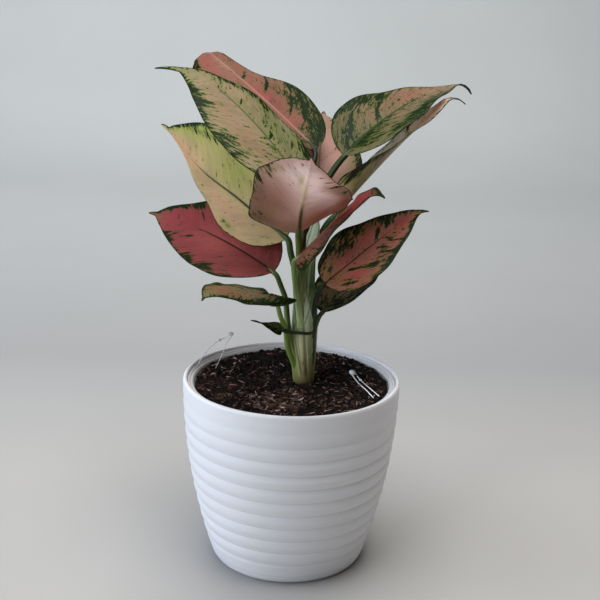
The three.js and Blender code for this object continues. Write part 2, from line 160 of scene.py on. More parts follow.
def makePiece(name, points, faceSets, material, replaced=(), attributes=None, smooth=True):
    # one mesh in metres from an array of points and arrays of faces; attributes are per point
    mesh = bpy.data.meshes.new(name)
    corners = np.concatenate([faces.ravel() for faces in faceSets])
    sizes = np.concatenate([np.full(len(faces), faces.shape[1]) for faces in faceSets])
    mesh.vertices.add(len(points))
    mesh.vertices.foreach_set("co", (points * metre).ravel())
    mesh.loops.add(len(corners))
    mesh.loops.foreach_set("vertex_index", corners)
    mesh.polygons.add(len(sizes))
    mesh.polygons.foreach_set("loop_start", np.concatenate([[0], np.cumsum(sizes)[:-1]]))
    mesh.polygons.foreach_set("use_smooth", np.full(len(sizes), smooth))
    mesh.update(calc_edges=True)
    for key, values in (attributes or {}).items():
        layer = mesh.attributes.new(key, "FLOAT_VECTOR", "POINT")
        layer.data.foreach_set("vector", np.ascontiguousarray(values, dtype=float).ravel())
    mesh.materials.append(material)
    piece = linked(name, mesh)
    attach(piece, "root")
    if replaced:
        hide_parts(*replaced)


def lathe(profile, sides):
    # a closed profile of (radius, height) turned round Z; its first and last points lie on the axis
    inner = np.array(profile[1:-1], float)
    turn = around(sides)
    rings = np.zeros((len(inner), sides, 3))
    rings[..., :2] = inner[:, None, :1] * np.stack([np.cos(turn), np.sin(turn)], -1)
    rings[..., 2] = inner[:, None, 1]
    return closeRings(rings, [[0, 0, profile[0][1]], [0, 0, profile[-1][1]]])


def roundCorners(corners, radius, steps=4):
    # each corner of a profile becomes a short arc: a quadratic curve that leaves and meets the sides
    mostOfSide = 0.45
    points = [tuple(corners[0])]
    for before, corner, after in zip(corners[:-2], corners[1:-1], corners[2:]):
        p, q, r = (np.array(c, float) for c in (before, corner, after))
        cut = min(radius, mostOfSide * np.linalg.norm(q - p), mostOfSide * np.linalg.norm(r - q))
        start = q + unit(p - q) * cut
        end = q + unit(r - q) * cut
        for t in np.linspace(0, 1, steps):
            points.append(tuple((1 - t) ** 2 * start + 2 * t * (1 - t) * q + t * t * end))
    points.append(tuple(corners[-1]))
    return points


def smoothPath(stops, count):
    # a centripetal Catmull-Rom curve through the stops, read at equal steps of length
    p = np.array(stops, float)
    p = np.vstack([2 * p[0] - p[1], p, 2 * p[-1] - p[-2]])
    t = np.linspace(0, 1, 40)[:, None]
    parts = []
    for a, b, c, d in zip(p[:-3], p[1:-2], p[2:-1], p[3:]):
        t0, t1, t2 = (max(np.linalg.norm(v), 1e-6) ** 0.5 for v in (b - a, c - b, d - c))
        m1 = t1 * ((b - a) / t0 - (c - a) / (t0 + t1) + (c - b) / t1)
        m2 = t1 * ((c - b) / t1 - (d - b) / (t1 + t2) + (d - c) / t2)
        cubic = (2 * t**3 - 3 * t**2 + 1) * b + (t**3 - 2 * t**2 + t) * m1
        cubic += (3 * t**2 - 2 * t**3) * c + (t**3 - t**2) * m2
        parts.append(cubic if not parts else cubic[1:])
    line = np.vstack(parts)
    run = np.concatenate([[0], np.cumsum(np.linalg.norm(np.diff(line, axis=0), axis=1))])
    at = np.linspace(0, run[-1], count)
    return np.stack([np.interp(at, run, line[:, k]) for k in range(3)], -1), run[-1]


def tube(path, radii, outward):
    # rings square to a path; angle 0 of each ring points to the side of the path that looks along outward
    tangent = unit(np.gradient(path, axis=0))
    side = unit(np.cross(tangent, outward))
    upper = np.cross(side, tangent)
    turn = around(radii.shape[1])[None, :, None]
    wheel = upper[:, None] * np.cos(turn) + side[:, None] * np.sin(turn)
    return closeRings(path[:, None] + wheel * radii[..., None], [path[0], path[-1]])


class Finish:
    # a material whose nodes are added one by one; inputs may be numbers, colours or other sockets
    def __init__(self, name, roughness, **uniform):
        self.material = bpy.data.materials.new(name)
        self.material.use_nodes = True
        self.tree = self.material.node_tree
        self.shader = self.tree.nodes["Principled BSDF"]
        self.shader.inputs["Roughness"].default_value = roughness
        for key, value in uniform.items():
            self.shader.inputs[key.replace("_", " ")].default_value = value

    def feed(self, socket, value):
        if isinstance(value, bpy.types.NodeSocket):
            self.tree.links.new(value, socket)
        elif hasattr(value, "__len__") and socket.type == "RGBA":
            socket.default_value = (*value[:3], 1)
        else:
            socket.default_value = value

    def add(self, kind, inputs, **settings):
        node = self.tree.nodes.new("ShaderNode" + kind)
        for key, value in settings.items():
            setattr(node, key, value)
        for key, value in inputs.items():
            self.feed(node.inputs[key], value)
        return node

    def attribute(self, name):
        return self.add("Attribute", {}, attribute_name=name).outputs["Vector"]

    def place(self):
        # where a point lies in the piece, in millimetres
        spot = self.add("TexCoord", {}).outputs["Object"]
        return self.stretch(spot, (1000, 1000, 1000))

    def parts(self, vector):
        outputs = self.add("SeparateXYZ", {0: vector}).outputs
        return outputs[0], outputs[1], outputs[2]

    def stretch(self, vector, scales):
        return self.add("VectorMath", {0: vector, 1: scales}, operation="MULTIPLY").outputs[0]

    def noise(self, vector, scale, detail=2, roughness=0.5):
        inputs = {"Vector": vector, "Scale": scale, "Detail": detail, "Roughness": roughness}
        return self.add("TexNoise", inputs).outputs["Fac"]

    def math(self, operation, first, second=0.0, third=0.0):
        return self.add("Math", {0: first, 1: second, 2: third}, operation=operation).outputs[0]

    def times(self, first, second):
        return self.math("MULTIPLY", first, second)

    def plus(self, first, second):
        return self.math("ADD", first, second)

    def timesPlus(self, first, second, third):
        return self.math("MULTIPLY_ADD", first, second, third)

    def ramp(self, value, low, high, outLow=0.0, outHigh=1.0):
        # a straight change from outLow to outHigh while the value runs from low to high
        inputs = {"Value": value, "From Min": low, "From Max": high, "To Min": outLow, "To Max": outHigh}
        return self.add("MapRange", inputs).outputs[0]

    def mix(self, share, first, second):
        node = self.add("Mix", {}, data_type="RGBA")
        for index, value in ((0, share), (6, first), (7, second)):
            self.feed(node.inputs[index], value)
        return node.outputs[2]

    def bump(self, height, distance, strength=1.0):
        inputs = {"Height": height, "Distance": distance * metre, "Strength": strength}
        normal = self.add("Bump", inputs).outputs["Normal"]
        self.feed(self.shader.inputs["Normal"], normal)

    def done(self, colour, roughness=None):
        self.feed(self.shader.inputs["Base Color"], colour)
        if roughness is not None:
            self.feed(self.shader.inputs["Roughness"], roughness)
        return self.material

    def letThrough(self, colour, share):
        # part of the light passes through to the other side instead of bouncing off
        through = self.add("BsdfTranslucent", {"Color": colour}).outputs[0]
        blend = self.add("MixShader", {0: share, 1: self.shader.outputs[0], 2: through}).outputs[0]
        self.tree.links.new(blend, self.tree.nodes["Material Output"].inputs["Surface"])


# Camera, lights and floor.

view = {
    "place": (0, -765.94, 423.54),
    "lens": 66,
    "sensor": 36,
    "down": 16.357,  # degrees below level
    "aside": 0.344,
    "roll": 1.684,
    "clip": (0.02, 60),  # metres
}


def standAt(name, data, right, up, back, place):
    # an object for a camera or a lamp, whose own axes run along right, up and back
    holder = linked(name, data)
    columns = np.eye(4)
    columns[:3] = np.stack([right, up, back, place], -1)
    holder.matrix_world = Matrix(columns.tolist())
    return holder


def placeCamera():
    # looks down, a little aside, and rolled about its own line of sight
    down, aside, roll = np.radians([view["down"], view["aside"], view["roll"]])
    ahead = np.array([np.sin(aside) * np.cos(down), np.cos(aside) * np.cos(down), -np.sin(down)])
    right = unit(np.cross(ahead, [0, 0, 1]))
    up = np.cross(right, ahead)
    lens = bpy.data.cameras.new("camera")
    lens.lens, lens.sensor_width = view["lens"], view["sensor"]
    lens.clip_start, lens.clip_end = view["clip"]
    rolledRight = np.cos(roll) * right + np.sin(roll) * up
    rolledUp = np.cos(roll) * up - np.sin(roll) * right
    place = np.array(view["place"]) * metre
    bpy.context.scene.camera = standAt("camera", lens, rolledRight, rolledUp, -ahead, place)


softbox = {"aim": (0, 0, 0.2), "size": 1.4}
softboxes = {
    # place, aim and size in metres, power in watts
    "left": {**softbox, "place": (-2.15, 0, 0.66), "power": 29, "colour": (0.68, 0.8, 1)},
    "front left": {**softbox, "place": (-1.6, -1.35, 0.88), "power": 21.5, "colour": (0.9, 0.95, 1)},
    "overhead": {**softbox, "place": (0.04, 0, 2.4), "power": 66, "colour": (1, 0.97, 0.94)},
    "right fill": {**softbox, "place": (2.17, 0, 0.58), "power": 3.4, "colour": (1, 0.85, 0.76)},
    "backdrop light": {
        "place": (-0.45, 0.9, 1.5), "aim": (-0.25, 2.4, 0.5), "size": 1.6, "power": 14.5,
        "colour": (0.95, 0.98, 1),
    },
}
sky = {"colour": (0.80, 0.83, 0.87), "strength": 0.05}


def lightScene():
    # square lamps that face their aim, and a faint even light from all round
    for name, box in softboxes.items():
        lamp = bpy.data.lights.new(name, "AREA")
        lamp.shape = "SQUARE"
        lamp.size = box["size"]
        lamp.energy = box["power"]
        lamp.color = box["colour"]
        back = unit(np.array(box["place"], float) - np.array(box["aim"], float))
        right = unit(np.cross([0, 0, 1], back))
        standAt(name, lamp, right, np.cross(back, right), back, box["place"])
    world = bpy.data.worlds.new("soft surroundings")
    world.use_nodes = True
    background = world.node_tree.nodes["Background"]
    background.inputs["Color"].default_value = (*sky["colour"], 1)
    background.inputs["Strength"].default_value = sky["strength"]
    bpy.context.scene.world = world
    bpy.context.scene.view_settings.view_transform = "Standard"


backdrop = {
    "level": (170, 169, 167),
    # painted shadow: a darker band on the floor behind the pot
    "behind": (147, 148, 149),
    "upright": (184, 187, 187),
    "behindRange": (120, 420),  # where the level tone turns into the painted shadow band behind the pot
    "uprightRange": (450, 2000),  # the same for the upright tone, by depth and height added
    "clouding": 0.04,
    "reach": 5200,
    "bendAt": 1500,
    "bendRadius": 900,
}


def layFloor():
    # a level sheet that turns up behind in a quarter circle: y = at + R sin t, z = R (1 - cos t)
    reach, bendAt, radius = backdrop["reach"], backdrop["bendAt"], backdrop["bendRadius"]
    x = np.linspace(-reach, reach, 25)
    level = np.linspace(-reach, bendAt, 20)
    t = np.linspace(0, np.pi / 2, 24)[1:]
    y = np.concatenate([level, bendAt + radius * np.sin(t), [bendAt + radius]])
    z = np.concatenate([level * 0, radius * (1 - np.cos(t)), [reach]])
    gridX, gridY = np.meshgrid(x, y, indexing="ij")
    points = np.stack([gridX, gridY, np.broadcast_to(z, gridX.shape)], -1).reshape(-1, 3)
    i, j = np.meshgrid(np.arange(len(x) - 1), np.arange(len(y) - 1), indexing="ij")
    a = i * len(y) + j
    quads = np.stack([a, a + len(y), a + len(y) + 1, a + 1], -1).reshape(-1, 4)
    mesh = bpy.data.meshes.new("floor")
    mesh.from_pydata((points * metre).tolist(), [], quads.tolist())
    mesh.polygons.foreach_set("use_smooth", np.full(len(quads), True))
    mesh.materials.append(floorFinish())
    floor = linked("floor", mesh)


def floorFinish():
    # three pale tones one after the other, the one behind the pot darker as a painted shadow band, with a
    # faint cloud
    finish = Finish("pale floor", 0.7)
    spot = finish.place()
    depth, height = finish.parts(spot)[1:]
    shadowShare = finish.ramp(depth, *backdrop["behindRange"])
    high = finish.ramp(finish.plus(depth, height), *backdrop["uprightRange"])
    tone = finish.mix(shadowShare, screen(*backdrop["level"]), screen(*backdrop["behind"]))
    tone = finish.mix(high, tone, screen(*backdrop["upright"]))
    cloud = finish.ramp(finish.noise(spot, 0.004, 2), 0.3, 0.7, 0.0, backdrop["clouding"])
    return finish.done(finish.mix(cloud, tone, (0, 0, 0)))


placeCamera()
lightScene()
layFloor()
print("camera, lights and floor placed")


# The ribbed pot.

pot = {
    "rimRadius": 80,
    "height": 140,
    "wall": 3,
    "wallBelowLip": 3.8,
    "floor": 3,
    "footRadius": 54,
    "side": (1.81, -27.22, 48.68, 56.73),  # outer radius as a cubic of the share of the height
    "sideFoot": (4, 7.5, 11, 14.5, 17),  # heights where the plain foot follows the side
    "inside": (120, 100, 80, 60, 40, 26, 12),
    "ribPitch": 10.9,
    "firstCrease": 17.6,
    "lastCrease": 126.6,
    "ribDepth": 1.3,
    "fadeFrom": 100,  # above this the ribs die away
    "fadeBy": 0.75,
    "sides": 240,
    "stepsPerRib": 16,
    "colour": (226, 227, 231),
    "creaseDustAndShade": (0.72, 0.72, 0.75),  # shares of the colour: dust and painted shade in the creases
    "scuff": (0.8, 0.79, 0.77),
}


def sideRadius(z):
    # the outer radius without ribs: a cubic of the height
    return np.polyval(pot["side"], z / pot["height"])


def ribbedRadius(z):
    # the side curve, less a depth that is 0 on a rib's middle and full in a crease: 1 - sin(pi share)
    first, last = pot["firstCrease"], pot["lastCrease"]
    share = ((z - first) / pot["ribPitch"]) % 1
    fade = 1 - pot["fadeBy"] * np.clip((z - pot["fadeFrom"]) / (last - pot["fadeFrom"]), 0, 1)
    crease = 1 - np.sin(np.pi * share)
    return sideRadius(z) - np.where((z >= first) & (z <= last), pot["ribDepth"] * fade * crease, 0)


def potFinish():
    # cool white moulded plastic: a faint cloud of tone, dust and painted shade in the creases, more on the
    # lower ribs, scuffs, and a fine orange peel
    finish = Finish("pot plastic", 0.4, Specular_IOR_Level=0.45)
    spot = finish.place()
    cloud = finish.noise(spot, 0.03, 3)
    peel = finish.noise(spot, 1.4, 2)
    rub = finish.noise(finish.stretch(spot, (0.25, 0.25, 0.04)), 1.0, 4, 0.7)
    height = finish.parts(spot)[2]
    wave = finish.math("PINGPONG", finish.math("SUBTRACT", height, pot["firstCrease"]), pot["ribPitch"] / 2)
    # dust and painted shade: darker in each crease, more towards the lower ribs
    creaseDustAndShade = finish.times(finish.ramp(wave, 0.9, 0.0), finish.ramp(height, 128, pot["fadeFrom"]))
    white = screen(*pot["colour"])
    colour = finish.mix(cloud, white * 0.965, np.minimum(white * 1.02, 1))
    colour = finish.mix(finish.times(creaseDustAndShade, 0.4), colour, white * np.array(pot["creaseDustAndShade"]))
    colour = finish.mix(finish.ramp(rub, 0.66, 0.8, 0, 0.10), colour, white * np.array(pot["scuff"]))
    finish.bump(finish.plus(peel, finish.times(rub, 0.3)), 0.05, 0.35)
    return finish.done(colour, finish.ramp(rub, 0.3, 0.8, 0.36, 0.5))


def buildPot():
    # the profile runs up the outside from the middle of the foot, over the lip, and down the inside
    rim, top, foot, floor = pot["rimRadius"], pot["height"], pot["footRadius"], pot["floor"]
    ribs = round((pot["lastCrease"] - pot["firstCrease"]) / pot["ribPitch"])
    z = np.linspace(pot["firstCrease"], pot["lastCrease"], ribs * pot["stepsPerRib"] + 1)
    base = roundCorners([
        (0, 0), (foot, 0), (foot + 2.4, 1), *((sideRadius(h), h) for h in pot["sideFoot"]),
    ], 1.2)
    lipIn = rim - pot["wall"]
    lip = roundCorners([
        (sideRadius(130) + 0.05, 130), (rim - 0.1, 134), (rim, 138.2), (rim - 0.7, top), (lipIn + 0.6, top),
        (lipIn, 139.1), (lipIn - 0.2, 130),
        *((sideRadius(h) - pot["wallBelowLip"], h) for h in pot["inside"]),
        (foot - 2, floor), (0, floor),
    ], 1.0, 5)
    points, faceSets = lathe([*base[:-1], *zip(ribbedRadius(z), z), *lip], pot["sides"])
    makePiece("pot_body", points, faceSets, potFinish(), ["pot"])


buildPot()
print("pot built")


# The nursery pot that stands in it.

nursery = {
    "floorRadius": 51,
    "flangeRadius": 76.7,
    "topZ": 138,
    "baseZ": 3.3,
    "wall": 1.2,
    "soilLineRadius": 71.9,
    "sides": 200,
    "colour": (206, 207, 209),
    "speck": (62, 50, 42),
    "soilLineShadeRange": (137.2, 133.4),  # heights between which a painted shade darkens it towards the soil
    "speckRange": (136.6, 132.5),
}


def nurseryFinish():
    # milky plastic: grey white, a little light let in, moulding rings, painted shade down towards the soil,
    # and specks of dried potting mix
    finish = Finish("milky plastic", 0.32, Subsurface_Weight=0.25, Subsurface_Scale=0.004)
    finish.shader.inputs["Subsurface Radius"].default_value = (1, 1, 1)
    spot = finish.place()
    rings = finish.noise(finish.stretch(spot, (0.01, 0.01, 1.3)), 1.0, 2)
    speck = finish.noise(spot, 0.9, 3, 0.7)
    white = screen(*nursery["colour"])
    colour = finish.mix(finish.ramp(rings, 0.3, 0.7), white * 0.82, np.minimum(white * 1.12, 1))
    height = finish.parts(spot)[2]
    # painted shade: darker from just under the rim down to the soil
    colour = finish.mix(finish.ramp(height, *nursery["soilLineShadeRange"], 0.0, 0.45), colour, white * 0.4)
    low = finish.times(finish.ramp(height, *nursery["speckRange"]), finish.ramp(speck, 0.5, 0.62))
    colour = finish.mix(finish.times(low, 0.85), colour, screen(*nursery["speck"]))
    finish.bump(rings, 0.12, 0.5)
    return finish.done(colour, finish.ramp(speck, 0.3, 0.7, 0.28, 0.42))


def buildNursery():
    # a thin cup: up the outside to the stepped flange, over its rolled edge, and down the inside
    base, top, wall = nursery["baseZ"], nursery["topZ"], nursery["wall"]
    line, flange, floor = nursery["soilLineRadius"], nursery["flangeRadius"], nursery["floorRadius"]
    profile = roundCorners([
        (0, base), (floor, base), (floor + 1.2, base + 1.2), (line + 0.6, 127), (line + 1.5, 129),
        (line + 1.8, top - 2.2), (flange, top - 1.9), (flange, top - 0.4), (flange - 0.6, top),
        (flange - 1.6, top - 0.2), (flange - 2.0, top - 1.1), (line + 1.2, top - 1.25),
        (line + 0.9, top - 2.1),
        (line + 0.35, top - 2.3), (line + 0.15, 133.6), (line - 0.35, 133.3), (line - 0.7, 127),
        (floor + 1.2 - wall, base + 1.2 + wall), (floor - wall, base + wall), (0, base + wall),
    ], 0.35)
    points, faceSets = lathe(profile, nursery["sides"])
    makePiece("nursery_liner", points, faceSets, nurseryFinish(), ["nursery_pot"])


buildNursery()
print("nursery pot built")


# The potting mix.

soil = {
    "surfaceZ": 134,
    "crown": 1.2,
    "lump": 0.8,
    "backRise": 1.8,
    "floorZ": 5.1,
    "floorRadius": 48.8,
    "sides": 300,
    "rows": 110,
    "seed": 11,
    "stemAt": (9, 3),
    "stemClear": 8.5,
    "palePatch": (-11, -38),  # a drier, lighter place at the front
    "paleRadius": 22,
    "peat": (11, 7, 6),
    "peatShade": (14, 9, 7),
    "thread": (50, 28, 20),
    "grit": (96, 66, 46),
    "dry": ((76, 54, 40), (148, 116, 88)),
    "crumbs": {
        "count": 3000, "size": (0.45, 1.55), "edge": 1.8,
        "tones": [(8, 6, 5), (13, 9, 8), (21, 13, 11), (34, 21, 17), (58, 38, 30), (98, 70, 56)],
    },
    "fibres": {
        "count": 1500, "length": (2.5, 9), "width": (0.14, 0.4),
        "tones": [(20, 13, 11), (40, 26, 20), (74, 49, 40), (120, 88, 75), (172, 136, 121), (226, 194, 176)],
    },
    "chips": {
        "count": 360, "length": (2.5, 7.5), "width": (0.4, 1.0),
        "tones": [(18, 12, 10), (34, 22, 18), (60, 40, 33), (102, 74, 62), (164, 130, 115), (230, 200, 182)],
    },
}


def soilHeight(x, y):
    # a low crown, lumps from crossed waves that end at the pot's side, and a rise at the back
    share = np.hypot(x, y) / nursery["soilLineRadius"]
    waves = np.sin(x / 5.3 + 1) * np.sin(y / 4.7) + 0.7 * np.sin(x / 2.9 + y / 3.7)
    lumps = soil["lump"] * waves * np.clip((1 - share) * 8, 0, 1)
    rise = soil["backRise"] * np.clip((y - 15) / 50, 0, 1)
    return soil["surfaceZ"] + soil["crown"] * (1 - share**2) + rise + lumps


def crumbly(x, y):
    # the soil's height with three sizes of rough noise on it
    rough = 0.55 * valueNoise(x / 2.6, y / 2.6, 3) + 0.4 * valueNoise(x / 1.1, y / 1.1, 4)
    return soilHeight(x, y) + rough + 0.25 * valueNoise(x / 0.55, y / 0.55, 5)


def soilFinish(name, own=False):
    # near-black peat with red-brown threads; loose bits take their own colour instead
    finish = Finish(name, 0.9, Specular_IOR_Level=0.25)
    spot = finish.place()
    threads = finish.noise(finish.stretch(spot, (0.35, 0.9, 0.9)), 1.0, 4, 0.7)
    grain = finish.noise(spot, 1.6, 3, 0.7)
    if own:
        base = finish.attribute("ownTone")
        shaded = finish.mix(0.5, base, screen(*soil["peatShade"]))
        colour = finish.mix(finish.ramp(grain, 0.3, 0.75), shaded, base)
    else:
        thready = finish.ramp(threads, 0.42, 0.72)
        colour = finish.mix(thready, screen(*soil["peat"]), screen(*soil["thread"]))
        colour = finish.mix(finish.ramp(grain, 0.62, 0.78), colour, screen(*soil["grit"]))
        centre = (*soil["palePatch"], soil["surfaceZ"])
        away = finish.add("VectorMath", {0: spot, 1: centre}, operation="DISTANCE").outputs["Value"]
        pale = finish.times(finish.ramp(away, soil["paleRadius"], 6), 0.85)
        colour = finish.mix(pale, colour, finish.mix(grain, *(screen(*tone) for tone in soil["dry"])))
    finish.bump(finish.plus(grain, threads), 0.5, 0.8)
    return finish.done(colour)


def buildSoil():
    # a plug: four plain rings up its side, then rings closing in over the rough top
    turn = around(soil["sides"])
    topRadius = nursery["soilLineRadius"] - 1.1
    floorZ = soil["floorZ"]
    radii = topRadius * np.linspace(1, 0, soil["rows"] + 1)[:-1] ** 0.8
    x, y = radii[:, None] * np.cos(turn), radii[:, None] * np.sin(turn)
    floor = [(6, floorZ), (soil["floorRadius"], floorZ)]
    side = np.array([*floor, (topRadius - 0.7, 126), (topRadius - 0.1, 131)])
    sideX, sideY = side[:, :1] * np.cos(turn), side[:, :1] * np.sin(turn)
    lower = np.stack([sideX, sideY, np.broadcast_to(side[:, 1:], sideX.shape)], -1)
    rings = np.concatenate([lower, np.stack([x, y, crumbly(x, y)], -1)])
    middle = crumbly(np.zeros(1), np.zeros(1))[0]
    points, faceSets = closeRings(rings, [[0, 0, floorZ], [0, 0, middle]])
    makePiece("soil_bed", points, faceSets, soilFinish("peat"), ["soil"])


def blob():
    # the twelve points of an icosahedron, from the golden ratio g, and its twenty faces
    g = (1 + 5**0.5) / 2
    points = np.array([
        [-1, g, 0], [1, g, 0], [-1, -g, 0], [1, -g, 0], [0, -1, g], [0, 1, g],
        [0, -1, -g], [0, 1, -g], [g, 0, -1], [g, 0, 1], [-g, 0, -1], [-g, 0, 1],
    ])
    faces = np.array([
        [0, 11, 5], [0, 5, 1], [0, 1, 7], [0, 7, 10], [0, 10, 11], [1, 5, 9], [5, 11, 4], [11, 10, 2],
        [10, 7, 6],
        [7, 1, 8], [3, 9, 4], [3, 4, 2], [3, 2, 6], [3, 6, 8], [3, 8, 9], [4, 9, 5], [2, 4, 11], [6, 2, 10],
        [8, 6, 7], [9, 8, 1],
    ])
    return unit(points), faces


def scatter(random, count, reach):
    # even over the disc, clear of the stem
    radius = reach * np.sqrt(random.random(count))
    turn = 2 * np.pi * random.random(count)
    x, y = radius * np.cos(turn), radius * np.sin(turn)
    clear = np.hypot(x - soil["stemAt"][0], y - soil["stemAt"][1]) > soil["stemClear"]
    return x[clear], y[clear]


def bitTones(random, x, y, palette):
    # each loose bit draws a tone from the palette, more of the pale ones near the dry patch
    colours = np.array([screen(*tone) for tone in palette])
    near = np.hypot(x - soil["palePatch"][0], y - soil["palePatch"][1]) < soil["paleRadius"]
    draw = random.random(len(x)) ** np.where(near, 0.42, 1.8)
    return colours[np.minimum((draw * len(colours)).astype(int), len(colours) - 1)]


def makeBits(name, points, faceSets, finishName, tones, pointsEach):
    # loose bits of potting mix in one piece, each in its own tone
    attributes = {"ownTone": np.repeat(tones, pointsEach, axis=0)}
    finish = soilFinish(finishName, True)
    makePiece(name, points, faceSets, finish, attributes=attributes, smooth=False)


def buildCrumbs(random, crumbs):
    # each crumb is the blob with its points pushed in and out, squashed and turned about Z
    shape, faces = blob()
    reach = nursery["soilLineRadius"] - crumbs["edge"]
    x, y = scatter(random, crumbs["count"], reach)
    count = len(x)
    share = np.hypot(x, y) / reach
    size = spread(random, *crumbs["size"], count, 2.2) * (1 + 0.35 * smoothStep(0.9, 1, share) * (y > 0))
    pushed = shape[None] * (0.7 + 0.6 * random.random((count, len(shape), 1)))
    pushed = pushed * (0.7 + 0.7 * random.random((count, 1, 3))) * size[:, None, None]
    turn = 2 * np.pi * random.random(count)[:, None]
    px = pushed[..., 0] * np.cos(turn) - pushed[..., 1] * np.sin(turn)
    py = pushed[..., 0] * np.sin(turn) + pushed[..., 1] * np.cos(turn)
    z = crumbly(x, y)[:, None] + 0.25 * size[:, None] + 0.5 * smoothStep(0.93, 1, share)[:, None]
    points = np.stack([px + x[:, None], py + y[:, None], pushed[..., 2] + z], -1).reshape(-1, 3)
    allFaces = (faces[None] + (np.arange(count) * len(shape))[:, None, None]).reshape(-1, 3)
    tones = bitTones(random, x, y, crumbs["tones"])
    makeBits("soil_crumbs", points, [allFaces], "crumb", tones, len(shape))


def buildSlivers(random, name, sliver):
    # flat three-sided slivers: five stations on a bent line, tapering to both ends, lying on the soil
    stations = 5
    x, y = scatter(random, sliver["count"], nursery["soilLineRadius"] - 3.5)
    count = len(x)
    t = np.linspace(-1, 1, stations)
    half = 0.5 * spread(random, *sliver["length"], count, 2)[:, None]
    wide = spread(random, *sliver["width"], count)[:, None]
    heading = 2 * np.pi * random.random(count)[:, None]
    bend = random.normal(0, 0.25, count)[:, None]
    lineX = x[:, None] + half * (t * np.cos(heading) - bend * t**2 * np.sin(heading))
    lineY = y[:, None] + half * (t * np.sin(heading) + bend * t**2 * np.cos(heading))
    reach = np.minimum(1, (nursery["soilLineRadius"] - 2.4) / np.hypot(lineX, lineY))
    lineX, lineY = lineX * reach, lineY * reach
    tilt = random.normal(0, 0.10, count)[:, None]
    lineZ = soilHeight(lineX, lineY) + 0.55 + 0.5 * random.random(count)[:, None] + tilt * t * half
    taper = wide * (0.25 + 0.75 * np.sqrt(np.maximum(0, 1 - np.abs(t) ** 2.5)))
    outX, outY, low = -np.sin(heading) * taper, np.cos(heading) * taper, lineZ - 0.1 * wide
    left = np.stack([lineX + outX, lineY + outY, low], -1)
    right = np.stack([lineX - outX, lineY - outY, low], -1)
    ridge = np.stack([lineX, lineY, lineZ + 0.5 * wide], -1)
    points = np.stack([left, right, ridge], 2).reshape(-1, 3)
    last = 3 * (stations - 1)
    caps = np.array([[0, 2, 1], [last, last + 1, last + 2]])
    offsets = (np.arange(count) * stations * 3)[:, None, None]
    quads = (loopFaces(stations, 3)[None] + offsets).reshape(-1, 4)
    faceSets = turnOutward(points, [quads, (caps[None] + offsets).reshape(-1, 3)])
    tones = bitTones(random, x, y, sliver["tones"])
    makeBits(name, points, faceSets, name + " bark", tones, stations * 3)


buildSoil()
soilDraw = np.random.default_rng(soil["seed"])
buildCrumbs(soilDraw, soil["crumbs"])
buildSlivers(soilDraw, "soil_fibres", soil["fibres"])
buildSlivers(soilDraw, "soil_chips", soil["chips"])
print("potting mix built")


# Leaf blades.
# at: the foot. heading, rise: degrees there. sweep, bend: how far these turn over the blade.
# hook: from this share of the length on, more rise and more heading.
# roll, twist: about the midrib, at the foot and over the blade. lean: towards one side.
# fold, curl, lobe: for the left and right half. opening: the fold's change by the tip.
# widest, tail: shares of the length. ripple: mm, waves, phase. stub: mm.
# corners: places where a margin is let out or taken in, as (side, s, reach, mm).

